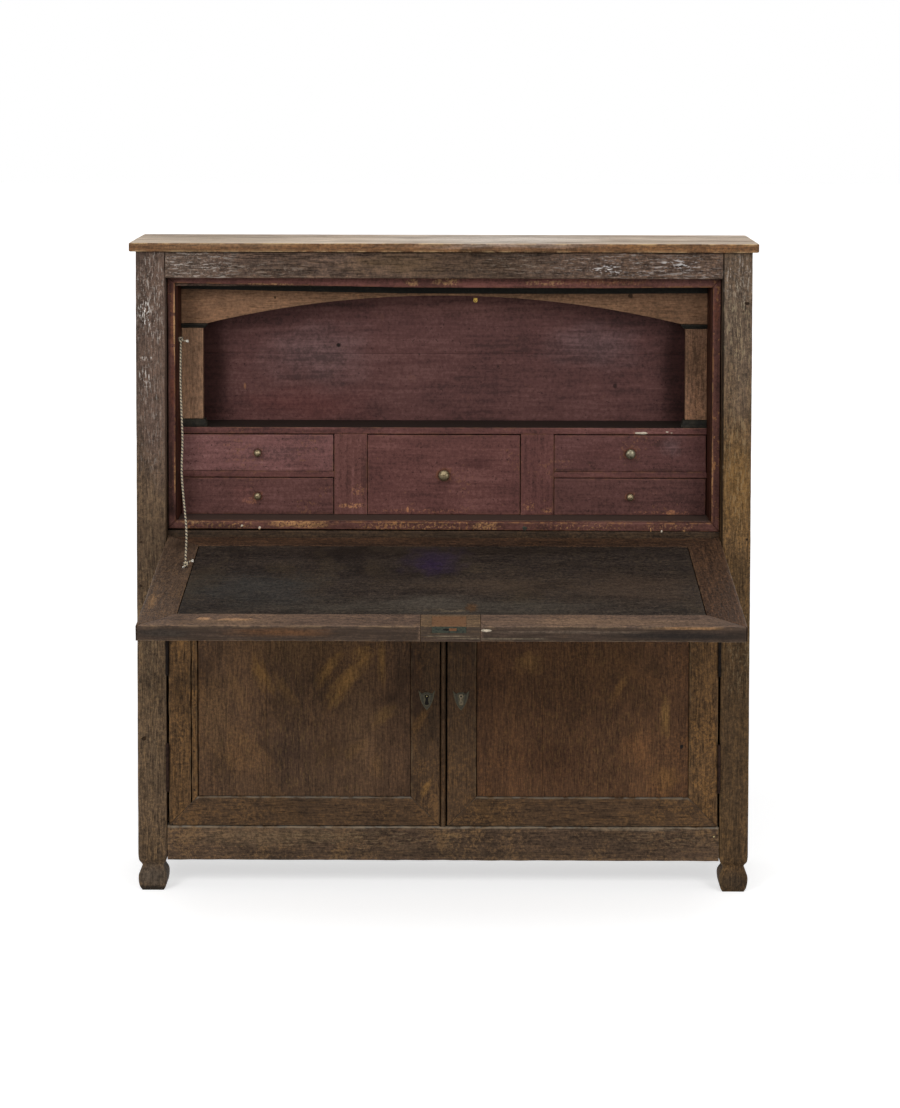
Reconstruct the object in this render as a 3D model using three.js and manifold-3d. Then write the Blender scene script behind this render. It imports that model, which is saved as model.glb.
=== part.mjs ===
// A narrow fall-front writing cabinet in oak: a flap that lets down on a rope stay in front of a
// gallery of five small drawers, above a cupboard with two framed doors.
// Millimetres, +Z up, the front toward -Y. The origin is under the middle of the open cabinet.
import * as THREE from 'three';
import { mergeVertices } from 'three/addons/utils/BufferGeometryUtils.js';
import Module from 'manifold-3d';

const wasm = await Module();
wasm.setup();

// Fits
const SEAT = 0.3; // between pieces that touch
const MITRE_PLAY = 0.2; // taken off each mitred end, along the bar
const CUT = 5; // how far a cutting solid runs past what it cuts
const MERGE_DISTANCE = 1e-4;

// Carcass
const CASE_WIDTH = 1260;
const TOP_THICKNESS = 18;
const TOP_SIDE_OVERHANG = 12.5;
const TOP_FRONT_OVERHANG = 13;
const TOP_BACK_OVERHANG = 10;
const TOP_CORNER_RADIUS = 5;
const STILE_WIDTH = 60;
const STILE_DEPTH = 60;
const SIDE_THICKNESS = 20;
const TOP_RAIL_HEIGHT = 55;
const MIDDLE_RAIL_HEIGHT = 76;
const BOTTOM_RAIL_HEIGHT = 72;
const BOTTOM_RAIL_THICKNESS = 36;
const BOTTOM_RAIL_LOW = 65;
const DOOR_OPENING_HEIGHT = 488;

// Feet, carved on the lower ends of the stiles
const FOOT_TOP = 63;
const FOOT_NECK_WIDTH = 44;
const FOOT_NECK_HEIGHT = 54.5;
const FOOT_BULGE_HEIGHT = 28;
const FOOT_SOLE_WIDTH = 48;
const REAR_FOOT_LENGTH = 62;

// Fall flap
const FLAP_HEIGHT = 564;
const FLAP_THICKNESS = 30;
const FLAP_MEMBER_WIDTH = 70;
const FLAP_SIDE_GAP = 1.5;
const FLAP_UNDER_GAP = 4;
const FLAP_OVER_GAP = 2;
const FLAP_SET_BACK = 1.2;
const FLAP_STOP_GAP = 0.8;
const FLAP_OPEN_DEGREES = 96.95;
const FLAP_PANEL_THICKNESS = 14;
const FLAP_PANEL_RECESS = 0.8;
const PIVOT_RADIUS = 5;
const PIVOT_PLAY = 0.5;
const PIVOT_IN_STILE = 24;
const PIVOT_IN_FLAP = 28;

// Lock let into the free edge of the flap
const LOCK_WIDTH = 64;
const LOCK_REACH = 58;
const LOCK_THICKNESS = 13;
const LOCK_OFFSET = 14;

// Panels in grooves
const GROOVE_DEPTH = 10;
const TONGUE_THICKNESS = 7;
const TONGUE_PLAY = 1;

// Lining of the writing compartment and the strips that stop the flap
const LINER_THICKNESS = 20;
const LINER_PLAY = 1;
const STRIP_THICKNESS = 14;
const MIDDLE_RAIL_REBATE = 45;

// Gallery
const GALLERY_SET_BACK = 112;
const GALLERY_DEPTH = 113;
const DRAWER_OPENING_HEIGHT = 79;
const RUNNER_THICKNESS = 12;
const SHELF_THICKNESS = 14;
const CENTRE_OPENING_WIDTH = 321;
const DIVIDER_WIDTH = 69;
const DIVIDER_FACE_THICKNESS = 12;
const DIVIDER_WALL_THICKNESS = 8;

// Drawers
const DRAWER_SIDE_GAP = 1;
const DRAWER_UNDER_GAP = 0.6;
const DRAWER_OVER_GAP = 1;
const DRAWER_BACK_GAP = 8;
const DRAWER_FRONT_THICKNESS = 12;
const DRAWER_WALL_THICKNESS = 7;
const DRAWER_BOTTOM_THICKNESS = 6;
const DRAWER_WALL_DROP = 8;

// Knobs: head diameter and length
const PLAIN_KNOB = { diameter: 13, length: 15 };
const BRIGHT_KNOB = { diameter: 20, length: 17 };
const CENTRE_KNOB = { diameter: 23, length: 21 };

// Pilasters and arch
const PILASTER_WIDTH = 45;
const PILASTER_THICKNESS = 20;
const CAPITAL_WIDTH = 54;
const CAPITAL_THICKNESS = 28;
const CAPITAL_HEIGHT = 10;
const CAPITAL_STEP = 3;
const BASE_HEIGHT = 16;
const BASE_SET_BACK = 1;
const PILASTER_SET_BACK = 7;
const ARCH_THICKNESS = 14;
const ARCH_SET_BACK = 5;

// Heights above the shelf, as shares of its clear height below the top rail
const PILASTER_HEIGHT_SHARE = 0.595;
const ARCH_RISE_SHARE = 0.184;
const ROPE_TIE_SHARE = 0.589;

// Back
const BACK_THICKNESS = 18;
const BACK_RECESS = 3;
const BACK_JOINT_ABOVE_SHELF = 142;

// Cupboard
const CUPBOARD_FLOOR_THICKNESS = 18;
const DOOR_THICKNESS = 24;
const DOOR_STOP_GAP = 4;
const DOOR_MEMBER_WIDTH = 60;
const DOOR_HINGE_GAP = 4.3;
const DOOR_END_GAP = 1.5;
const DOOR_MEETING_GAP = 2;
const DOOR_PANEL_THICKNESS = 12;
const DOOR_PANEL_RECESS = 4;
const ASTRAGAL_WIDTH = 13;
const ASTRAGAL_RISE = 5;

// Door hinges
const HINGE_LENGTH = 100;
const HINGE_INSET = 71.5;
const HINGE_RADIUS = 3.4;
const HINGE_LEAF_THICKNESS = 1.2;
const HINGE_LEAF_DEPTH = 18;

// Escutcheons and keyholes
const ESCUTCHEON_WIDTH = 38;
const ESCUTCHEON_HEIGHT = 44;
const ESCUTCHEON_THICKNESS = 1.5;
const ESCUTCHEON_ABOVE_DOOR = 262;
const KEYHOLE_RADIUS = 4.2;
const KEYHOLE_SLOT_WIDTH = 5;
const KEYHOLE_LENGTH = 19;

// Rope stay, tied inside the opening and to the flap
const ROPE_DIAMETER = 4.5;
const ROPE_KNOT_RADIUS = 5.5;
const ROPE_TIE_SET_BACK = 62;
const ROPE_FLAP_INSET = 58.3;
const ROPE_FLAP_SHARE = 0.3637; // of the flap's height, from its pivot
// Two points between the ends, as shares of the way along X, Y and Z, which give the rope its sag
const ROPE_SAG_SHARES = [[0.242, 0.308, 0.322], [0.606, 0.649, 0.668]];
const ROPE_SIDES = 10;
const ROPE_STEPS = 48;

// Roundness
const ARC_STEPS = 8;
const FOOT_STEPS = 6;
const ROUND_SIDES = 20;
const ARCH_STEPS = 40;

// Places that follow from the sizes
const halfCase = CASE_WIDTH / 2;
const stileInner = halfCase - STILE_WIDTH;
const sideInner = halfCase - SIDE_THICKNESS;
const linerOuter = stileInner - LINER_PLAY;
const linerInner = linerOuter - LINER_THICKNESS;
const gallerySide = linerInner - SEAT;

const bottomRailTop = BOTTOM_RAIL_LOW + BOTTOM_RAIL_HEIGHT;
const middleRailLow = bottomRailTop + DOOR_OPENING_HEIGHT;
const middleRailTop = middleRailLow + MIDDLE_RAIL_HEIGHT;
const flapLow = middleRailTop + FLAP_UNDER_GAP;
const flapTop = flapLow + FLAP_HEIGHT;
const topRailLow = flapTop + FLAP_OVER_GAP;
const caseTop = topRailLow + TOP_RAIL_HEIGHT;

const stripFace = FLAP_SET_BACK + FLAP_THICKNESS + FLAP_STOP_GAP;
const stripBack = stripFace + STRIP_THICKNESS;
const liningLow = middleRailTop + MIDDLE_RAIL_REBATE;
const writingFloorTop = liningLow + LINER_THICKNESS;
const stripTop = topRailLow - SEAT;
const boardsFront = stripBack + SEAT;
const frameBack = STILE_DEPTH + SEAT;

const backFace = GALLERY_SET_BACK + GALLERY_DEPTH;
const caseDepth = backFace + BACK_THICKNESS + BACK_RECESS;
const boardsBack = backFace - SEAT;

const runnerLow = writingFloorTop + DRAWER_OPENING_HEIGHT;
const runnerTop = runnerLow + RUNNER_THICKNESS;
const shelfLow = runnerTop + DRAWER_OPENING_HEIGHT;
const shelfTop = shelfLow + SHELF_THICKNESS;
const baseTop = shelfTop + BASE_HEIGHT;
const clearAboveShelf = topRailLow - shelfTop;
const pilasterTop = baseTop + clearAboveShelf * PILASTER_HEIGHT_SHARE;
const archLow = pilasterTop + CAPITAL_HEIGHT;
const archRise = clearAboveShelf * ARCH_RISE_SHARE;
const backJoint = shelfTop + BACK_JOINT_ABOVE_SHELF;
const dividerInner = CENTRE_OPENING_WIDTH / 2;
const dividerOuter = dividerInner + DIVIDER_WIDTH;

const flapHalfWidth = stileInner - FLAP_SIDE_GAP;
const flapHalfThickness = FLAP_THICKNESS / 2;
const flapFoot = -flapHalfThickness; // lower edge, below the pivot
const flapHead = FLAP_HEIGHT - flapHalfThickness;
const pivotY = FLAP_SET_BACK + flapHalfThickness;
const pivotZ = flapLow + flapHalfThickness;
const flapOpenAngle = THREE.MathUtils.degToRad(FLAP_OPEN_DEGREES);

const doorLow = bottomRailTop + DOOR_END_GAP;
const doorTop = middleRailLow - DOOR_END_GAP;
const doorOuter = stileInner - DOOR_HINGE_GAP;
const astragalHalf = ASTRAGAL_WIDTH / 2;
const escutcheonZ = doorLow + ESCUTCHEON_ABOVE_DOOR;

// The reach of the open flap in front, which with the top board sets the depth of the whole
const flapReach = -flapHead * Math.sin(flapOpenAngle) + flapHalfThickness * Math.cos(flapOpenAngle);
const wholeFront = pivotY + flapReach;
const wholeBack = caseDepth + TOP_BACK_OVERHANG;
const wholeMiddle = (wholeFront + wholeBack) / 2;

// Materials
function finish(color, roughness, metalness = 0) {
  return new THREE.MeshStandardMaterial({ color, roughness, metalness, flatShading: true });
}
const agedOak = finish(0x4b3927, 0.62);
const topOak = finish(0x6f5539, 0.6);
const doorOak = finish(0x49321f, 0.55);
const flapOak = finish(0x4a3527, 0.55);
const flapBoard = finish(0x2b2622, 0.5);
const redPaint = finish(0x6e3a30, 0.65);
const paleWood = finish(0x8a6c4c, 0.6);
const blackPaint = finish(0x25231f, 0.5);
const roughBack = finish(0x4a3a2b, 0.85);
const brass = finish(0x9a7a3c, 0.35, 1);
const darkBronze = finish(0x4d4637, 0.5, 1);
const rustyIron = finish(0x5a3a2a, 0.75, 0.8);
const ropeFibre = finish(0x8d8374, 0.9);

const cabinet = new THREE.Group();
cabinet.position.y = -wholeMiddle;

const flap = new THREE.Group();
flap.position.set(0, pivotY, pivotZ);
flap.rotation.x = flapOpenAngle;
cabinet.add(flap);

function place(name, shape, material, group = cabinet) {
  const geometry = shape.isBufferGeometry ? shape : geometryOf(shape);
  const mesh = new THREE.Mesh(geometry, material);
  mesh.name = name;
  group.add(mesh);
  return mesh;
}

// Left and right copies share one maker, which is told the side as -1 or 1
const SIDES = [['left', -1], ['right', 1]];

// A low and a high bound at one side of the middle, given outward from the middle
function outward(side, near, far) {
  return side < 0 ? [-far, -near] : [near, far];
}

function board(x, y, z) {
  const geometry = new THREE.BoxGeometry(x[1] - x[0], y[1] - y[0], z[1] - z[0]);
  return geometry.translate((x[0] + x[1]) / 2, (y[0] + y[1]) / 2, (z[0] + z[1]) / 2);
}

function outline(points) {
  return new THREE.Shape(points.map(([a, b]) => new THREE.Vector2(a, b)));
}

// A flat outline drawn in X and Z, made solid from y[0] to y[1]
function alongY(shape, y, curveSegments = ARC_STEPS) {
  const geometry = new THREE.ExtrudeGeometry(shape, {
    depth: y[1] - y[0], bevelEnabled: false, curveSegments,
  });
  return geometry.rotateX(Math.PI / 2).translate(0, y[1], 0);
}

// A flat outline drawn in X and Y, made solid from z[0] to z[1]
function alongZ(shape, z, curveSegments = ARC_STEPS) {
  const geometry = new THREE.ExtrudeGeometry(shape, {
    depth: z[1] - z[0], bevelEnabled: false, curveSegments,
  });
  return geometry.translate(0, 0, z[0]);
}

// A flat outline drawn in Y and Z, made solid from x[0] to x[1]
function alongX(shape, x, curveSegments = ARC_STEPS) {
  const geometry = new THREE.ExtrudeGeometry(shape, {
    depth: x[1] - x[0], bevelEnabled: false, curveSegments,
  });
  return geometry.rotateZ(Math.PI / 2).rotateY(Math.PI / 2).translate(x[0], 0, 0);
}

function solidOf(geometry) {
  const bare = geometry.clone();
  bare.deleteAttribute('normal');
  bare.deleteAttribute('uv');
  const merged = mergeVertices(bare, MERGE_DISTANCE);
  return new wasm.Manifold(new wasm.Mesh({
    numProp: 3,
    vertProperties: merged.attributes.position.array,
    triVerts: new Uint32Array(merged.index.array),
  }));
}

function geometryOf(solid) {
  const mesh = solid.getMesh();
  const geometry = new THREE.BufferGeometry();
  geometry.setAttribute('position', new THREE.BufferAttribute(mesh.vertProperties, mesh.numProp));
  geometry.setIndex(new THREE.BufferAttribute(mesh.triVerts, 1));
  geometry.computeVertexNormals();
  return geometry;
}

function cut(geometry, ...tools) {
  return tools.reduce((solid, tool) => solid.subtract(solidOf(tool)), solidOf(geometry));
}

// A rod along X from x[0] to x[1] at a height and depth
function rodAlongX(radius, x, y, z) {
  const geometry = new THREE.CylinderGeometry(radius, radius, x[1] - x[0], ROUND_SIDES);
  return geometry.rotateZ(Math.PI / 2).translate((x[0] + x[1]) / 2, y, z);
}

// One bar of a mitred frame, as an outline in X and Z
function mitredBar(which, frame, width) {
  const { half, low, high } = frame;
  const inner = half - width;
  const play = MITRE_PLAY;
  const outerX = half - play;
  const innerX = inner - play;
  const outerZ = [low + play, high - play];
  const innerZ = [low + width + play, high - width - play];
  const bars = {
    bottom: [[-outerX, low], [outerX, low], [innerX, low + width], [-innerX, low + width]],
    top: [[-outerX, high], [-innerX, high - width], [innerX, high - width], [outerX, high]],
    left: [[-half, outerZ[0]], [-inner, innerZ[0]], [-inner, innerZ[1]], [-half, outerZ[1]]],
    right: [[half, outerZ[0]], [half, outerZ[1]], [inner, innerZ[1]], [inner, innerZ[0]]],
  };
  return outline(bars[which]);
}

function buildTopBoard() {
  const half = halfCase + TOP_SIDE_OVERHANG;
  const front = -TOP_FRONT_OVERHANG;
  const back = wholeBack;
  const r = TOP_CORNER_RADIUS;
  const shape = new THREE.Shape();
  shape.moveTo(half, back);
  shape.lineTo(-half, back);
  shape.lineTo(-half, front + r);
  shape.absarc(-half + r, front + r, r, Math.PI, Math.PI * 1.5, false);
  shape.absarc(half - r, front + r, r, Math.PI * 1.5, Math.PI * 2, false);
  shape.closePath();
  place('top_board', alongZ(shape, [caseTop, caseTop + TOP_THICKNESS], FOOT_STEPS), topOak);
}

// Half the width of a stile at its foot: sole, bulge, neck and cove, drawn for one face
function stileOutline(width) {
  const half = width / 2;
  const neck = FOOT_NECK_WIDTH / 2;
  const sole = FOOT_SOLE_WIDTH / 2;
  const top = caseTop - SEAT;
  const neckRise = FOOT_NECK_HEIGHT - FOOT_BULGE_HEIGHT;
  const coveRise = FOOT_TOP - FOOT_NECK_HEIGHT;
  const quarter = Math.PI / 2;
  const shape = new THREE.Shape();
  shape.moveTo(sole, 0);
  shape.absellipse(sole, FOOT_BULGE_HEIGHT, half - sole, FOOT_BULGE_HEIGHT, -quarter, 0, false);
  shape.absellipse(neck, FOOT_BULGE_HEIGHT, half - neck, neckRise, 0, quarter, false);
  shape.absellipse(half, FOOT_NECK_HEIGHT, half - neck, coveRise, Math.PI, quarter, true);
  shape.lineTo(half, top);
  shape.lineTo(-half, top);
  shape.absellipse(-half, FOOT_NECK_HEIGHT, half - neck, coveRise, quarter, 0, true);
  shape.absellipse(-neck, FOOT_BULGE_HEIGHT, half - neck, neckRise, quarter, Math.PI, false);
  shape.absellipse(-sole, FOOT_BULGE_HEIGHT, half - sole, FOOT_BULGE_HEIGHT, Math.PI, quarter * 3, false);
  shape.closePath();
  return shape;
}

function buildFrontStile(name, side) {
  const middle = side * (halfCase - STILE_WIDTH / 2);
  const face = alongY(stileOutline(STILE_WIDTH), [0, STILE_DEPTH], FOOT_STEPS).translate(middle, 0, 0);
  const edge = alongX(stileOutline(STILE_DEPTH), outward(side, stileInner - CUT, halfCase + CUT), FOOT_STEPS);
  edge.translate(0, STILE_DEPTH / 2, 0);
  const holeEnd = stileInner + PIVOT_IN_STILE + SEAT;
  const hole = rodAlongX(PIVOT_RADIUS + PIVOT_PLAY, outward(side, stileInner - CUT, holeEnd), pivotY, pivotZ);
  const solid = solidOf(face).intersect(solidOf(edge)).subtract(solidOf(hole));
  place(`front_stile_${name}`, solid, agedOak);
}

// Side plank, cut away below so that its back end stands as a rear foot
function buildSidePlank(name, side) {
  const rearFoot = caseDepth - REAR_FOOT_LENGTH;
  const shape = new THREE.Shape();
  shape.moveTo(frameBack, BOTTOM_RAIL_LOW);
  shape.lineTo(rearFoot - BOTTOM_RAIL_LOW, BOTTOM_RAIL_LOW);
  shape.absarc(rearFoot - BOTTOM_RAIL_LOW, 0, BOTTOM_RAIL_LOW, Math.PI / 2, 0, true);
  shape.lineTo(caseDepth, 0);
  shape.lineTo(caseDepth, caseTop - SEAT);
  shape.lineTo(frameBack, caseTop - SEAT);
  shape.closePath();
  place(`side_plank_${name}`, alongX(shape, outward(side, sideInner, halfCase)), agedOak);
}

function buildRails() {
  const span = [-stileInner + SEAT, stileInner - SEAT];
  const top = caseTop - SEAT;
  const topRail = outline([
    [0, topRailLow], [stripBack + SEAT, topRailLow], [stripBack + SEAT, topRailLow - LINER_THICKNESS],
    [STILE_DEPTH, topRailLow - LINER_THICKNESS], [STILE_DEPTH, top], [0, top],
  ]);
  place('top_rail', alongX(topRail, span), agedOak);
  const middleRail = outline([
    [0, middleRailLow], [STILE_DEPTH, middleRailLow], [STILE_DEPTH, liningLow],
    [stripFace, liningLow], [stripFace, middleRailTop], [0, middleRailTop],
  ]);
  place('middle_rail', alongX(middleRail, span), agedOak);
  place('bottom_rail', board(span, [0, BOTTOM_RAIL_THICKNESS], [BOTTOM_RAIL_LOW, bottomRailTop]), agedOak);
}

function buildBack() {
  const span = [-sideInner + SEAT, sideInner - SEAT];
  const depth = [backFace, backFace + BACK_THICKNESS];
  place('back_board_lower', board(span, depth, [BOTTOM_RAIL_LOW, backJoint]), roughBack);
  place('back_board_upper', board(span, depth, [backJoint + SEAT, caseTop - SEAT]), redPaint);
}

// A floor board that runs between the stiles in front and between the side planks behind them
function flooredBoard(front, z) {
  const narrow = stileInner - SEAT;
  const wide = sideInner - SEAT;
  const shape = outline([
    [-narrow, front], [narrow, front], [narrow, frameBack], [wide, frameBack],
    [wide, boardsBack], [-wide, boardsBack], [-wide, frameBack], [-narrow, frameBack],
  ]);
  return alongZ(shape, z);
}

function buildFloors() {
  place('writing_floor', flooredBoard(boardsFront, [liningLow + SEAT, writingFloorTop]), redPaint);
  const low = bottomRailTop + SEAT;
  const front = DOOR_THICKNESS + DOOR_STOP_GAP;
  place('cupboard_floor', flooredBoard(front, [low, low + CUPBOARD_FLOOR_THICKNESS]), roughBack);
}

// Inner side wall, notched at its upper front corner for the top rail
function buildLiner(name, side) {
  const low = writingFloorTop + SEAT;
  const top = caseTop - SEAT;
  const notchLow = topRailLow - LINER_THICKNESS - SEAT;
  const shape = outline([
    [boardsFront, low], [boardsBack, low], [boardsBack, top],
    [frameBack, top], [frameBack, notchLow], [boardsFront, notchLow],
  ]);
  place(`liner_${name}`, alongX(shape, outward(side, linerInner, linerOuter)), redPaint);
}

function buildStopStrips() {
  const frame = { half: linerOuter, low: liningLow + SEAT, high: stripTop };
  for (const which of ['bottom', 'top', 'left', 'right']) {
    const bar = mitredBar(which, frame, LINER_THICKNESS - SEAT);
    place(`stop_strip_${which}`, alongY(bar, [stripFace, stripBack]), redPaint);
  }
}

function buildGallery() {
  const depth = [GALLERY_SET_BACK, boardsBack];
  const shelf = board([-gallerySide, gallerySide], depth, [shelfLow + SEAT, shelfTop]);
  place('gallery_shelf', shelf, redPaint);
  for (const [name, side] of SIDES) {
    const runner = board(outward(side, dividerOuter + SEAT, gallerySide), depth, [runnerLow, runnerTop]);
    place(`drawer_runner_${name}`, runner, redPaint);
    buildDivider(name, side, depth);
  }
}

// A face board with a wall behind each of its edges, open at the back
function buildDivider(name, side, depth) {
  const z = [writingFloorTop + SEAT, shelfLow];
  const block = board(outward(side, dividerInner, dividerOuter), depth, z);
  const hollow = board(
    outward(side, dividerInner + DIVIDER_WALL_THICKNESS, dividerOuter - DIVIDER_WALL_THICKNESS),
    [GALLERY_SET_BACK + DIVIDER_FACE_THICKNESS, boardsBack + CUT], [z[0] - CUT, z[1] + CUT],
  );
  place(`gallery_divider_${name}`, cut(block, hollow), redPaint);
}

function buildPilaster(name, side) {
  const baseFace = GALLERY_SET_BACK + BASE_SET_BACK;
  const capitalDepth = [baseFace, baseFace + CAPITAL_THICKNESS];
  const inner = gallerySide - CAPITAL_WIDTH;
  const base = board(outward(side, inner, gallerySide), capitalDepth, [shelfTop + SEAT, baseTop]);
  place(`pilaster_base_${name}`, base, blackPaint);
  const face = GALLERY_SET_BACK + PILASTER_SET_BACK;
  const shaft = board(
    outward(side, gallerySide - PILASTER_WIDTH, gallerySide), [face, face + PILASTER_THICKNESS],
    [baseTop + SEAT, pilasterTop],
  );
  place(`pilaster_${name}`, shaft, paleWood);
  place(`pilaster_capital_${name}`, steppedCapital(side, inner, capitalDepth), blackPaint);
}

// A wide cap over a narrower block, stepped at its front and its inner end
function steppedCapital(side, inner, depth) {
  const step = CAPITAL_STEP;
  const low = pilasterTop + SEAT;
  const high = archLow - SEAT;
  const middle = (low + high) / 2;
  const cap = board(outward(side, inner, gallerySide), depth, [middle, high]);
  const block = board(outward(side, inner + step, gallerySide), [depth[0] + step, depth[1]], [low, middle]);
  return solidOf(cap).add(solidOf(block));
}

function buildArch() {
  const seat = CAPITAL_WIDTH;
  const halfSpan = gallerySide - seat;
  const radius = (halfSpan * halfSpan + archRise * archRise) / (2 * archRise);
  const centreZ = archLow + archRise - radius;
  const half = Math.asin(halfSpan / radius);
  const shape = new THREE.Shape();
  shape.moveTo(-gallerySide, archLow);
  shape.lineTo(-halfSpan, archLow);
  shape.absarc(0, centreZ, radius, Math.PI / 2 + half, Math.PI / 2 - half, true);
  shape.lineTo(gallerySide, archLow);
  shape.lineTo(gallerySide, caseTop - SEAT);
  shape.lineTo(-gallerySide, caseTop - SEAT);
  shape.closePath();
  const front = GALLERY_SET_BACK + ARCH_SET_BACK;
  place('arch_board', alongY(shape, [front, front + ARCH_THICKNESS], ARCH_STEPS), paleWood);
}

// An open box with a thicker front that stands higher than its walls
function buildDrawer(name, x, z, knob) {
  const front = GALLERY_SET_BACK;
  const back = backFace - DRAWER_BACK_GAP;
  const low = z[0] + DRAWER_UNDER_GAP;
  const high = z[1] - DRAWER_OVER_GAP;
  const left = x[0] + DRAWER_SIDE_GAP;
  const right = x[1] - DRAWER_SIDE_GAP;
  const wallFront = front + DRAWER_FRONT_THICKNESS;
  const block = board([left, right], [front, back], [low, high]);
  const wall = DRAWER_WALL_THICKNESS;
  const dropped = board(
    [left - CUT, right + CUT], [wallFront, back + CUT], [high - DRAWER_WALL_DROP, high + CUT],
  );
  const hollow = board(
    [left + wall, right - wall], [wallFront, back - wall], [low + DRAWER_BOTTOM_THICKNESS, high + CUT],
  );
  place(`drawer_${name}`, cut(block, dropped, hollow), redPaint);
  const onFace = turnedKnob(knob).translate((left + right) / 2, front - SEAT, (low + high) / 2);
  place(`knob_${name}`, onFace, brass);
}

// A turned knob: a foot, a neck and a round head, on an axis that points forward
function turnedKnob({ diameter, length }) {
  const head = diameter / 2;
  const neckShare = 0.42;
  const footShare = 0.72;
  const footLengthShare = 0.16;
  const profile = [
    new THREE.Vector2(0, 0),
    new THREE.Vector2(head * footShare, 0),
    new THREE.Vector2(head * footShare, length * footLengthShare),
    new THREE.Vector2(head * neckShare, length * footLengthShare * 2),
  ];
  const headLow = length * footLengthShare * 2;
  const headHalf = (length - headLow) / 2;
  const firstAngle = -Math.acos(neckShare);
  for (let i = 1; i <= ARC_STEPS; i += 1) {
    const angle = firstAngle + (Math.PI / 2 - firstAngle) * (i / ARC_STEPS);
    const out = i === ARC_STEPS ? 0 : head * Math.cos(angle);
    profile.push(new THREE.Vector2(out, headLow + headHalf + headHalf * Math.sin(angle)));
  }
  return new THREE.LatheGeometry(profile, ROUND_SIDES).rotateX(Math.PI);
}

function buildDrawers() {
  const lower = [writingFloorTop, runnerLow];
  const upper = [runnerTop, shelfLow];
  for (const [name, side] of SIDES) {
    const x = outward(side, dividerOuter, linerInner);
    buildDrawer(`lower_${name}`, x, lower, PLAIN_KNOB);
    buildDrawer(`upper_${name}`, x, upper, side < 0 ? PLAIN_KNOB : BRIGHT_KNOB);
  }
  buildDrawer('centre', [-dividerInner, dividerInner], [writingFloorTop, shelfLow], CENTRE_KNOB);
}

// Flap pieces are drawn closed, around the pivot line, and turned as one group
function buildFlap() {
  const frame = { half: flapHalfWidth, low: flapFoot, high: flapHead };
  const thickness = [flapHalfThickness, -flapHalfThickness];
  const slab = new THREE.Shape();
  slab.moveTo(thickness[0], flapHead);
  slab.lineTo(thickness[1], flapHead);
  slab.absarc(0, 0, flapHalfThickness, Math.PI, Math.PI * 2, false);
  slab.closePath();
  const slabSolid = solidOf(alongX(slab, [-flapHalfWidth, flapHalfWidth]));
  const panelFace = flapHalfThickness - FLAP_PANEL_RECESS;
  const panelBack = panelFace - FLAP_PANEL_THICKNESS;
  const tongueMiddle = (panelFace + panelBack) / 2;
  const tongue = [tongueMiddle - TONGUE_THICKNESS / 2, tongueMiddle + TONGUE_THICKNESS / 2];
  const inner = {
    half: flapHalfWidth - FLAP_MEMBER_WIDTH,
    low: flapFoot + FLAP_MEMBER_WIDTH,
    high: flapHead - FLAP_MEMBER_WIDTH,
  };
  const groove = solidOf(panelBlock(inner, GROOVE_DEPTH, [tongue[0] - SEAT, tongue[1] + SEAT]));
  const lock = {
    x: [LOCK_OFFSET - LOCK_WIDTH / 2, LOCK_OFFSET + LOCK_WIDTH / 2],
    y: [flapHalfThickness - LOCK_THICKNESS, flapHalfThickness],
    z: [flapHead - LOCK_REACH, flapHead],
  };
  const lockPocket = solidOf(board(
    [lock.x[0] - SEAT, lock.x[1] + SEAT],
    [lock.y[0] - SEAT, lock.y[1] + CUT],
    [lock.z[0] - SEAT, lock.z[1] + CUT],
  ));
  const keyholeZ = flapHead - LOCK_REACH / 2;
  const keyhole = solidOf(keyholeCutter(LOCK_OFFSET, keyholeZ, [thickness[1] - CUT, lock.y[0] + CUT]));
  const pinHoleEnd = flapHalfWidth - PIVOT_IN_FLAP - SEAT;
  const pinHoles = SIDES.map(([, side]) => solidOf(
    rodAlongX(PIVOT_RADIUS + PIVOT_PLAY, outward(side, pinHoleEnd, flapHalfWidth + CUT), 0, 0),
  ));
  for (const which of ['bottom', 'top', 'left', 'right']) {
    const bar = alongY(mitredBar(which, frame, FLAP_MEMBER_WIDTH), [thickness[1] - CUT, thickness[0] + CUT]);
    let solid = solidOf(bar).intersect(slabSolid).subtract(groove);
    for (const hole of pinHoles) solid = solid.subtract(hole);
    if (which === 'top') solid = solid.subtract(lockPocket).subtract(keyhole);
    place(`flap_${which === 'bottom' ? 'hinge' : which}_member`, solid, flapOak, flap);
  }
  const field = { half: inner.half - SEAT, low: inner.low + SEAT, high: inner.high - SEAT };
  const panel = solidOf(panelBlock(field, 0, [panelBack, panelFace]))
    .add(solidOf(panelBlock(inner, GROOVE_DEPTH - TONGUE_PLAY, tongue)));
  place('flap_panel', panel, flapBoard, flap);
  place('flap_lock', board(lock.x, lock.y, lock.z), rustyIron, flap);
}

// A block as large as a frame's opening, or larger by a margin all round
function panelBlock(opening, margin, y) {
  const x = opening.x || [-opening.half, opening.half];
  return board([x[0] - margin, x[1] + margin], y, [opening.low - margin, opening.high + margin]);
}

// A round hole with a slot below it, through y[0] to y[1], centred on its whole height
function keyholeCutter(x, z, y) {
  return alongY(keyholeOutline(x, z), y);
}

function keyholeOutline(x, z) {
  const eye = z + KEYHOLE_LENGTH / 2 - KEYHOLE_RADIUS;
  const foot = z - KEYHOLE_LENGTH / 2;
  const slot = KEYHOLE_SLOT_WIDTH / 2;
  const open = Math.asin(slot / KEYHOLE_RADIUS);
  const shape = new THREE.Shape();
  shape.moveTo(x - slot, foot);
  shape.lineTo(x + slot, foot);
  shape.absarc(x, eye, KEYHOLE_RADIUS, -Math.PI / 2 + open, Math.PI * 1.5 - open, false);
  shape.closePath();
  return shape;
}

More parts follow.
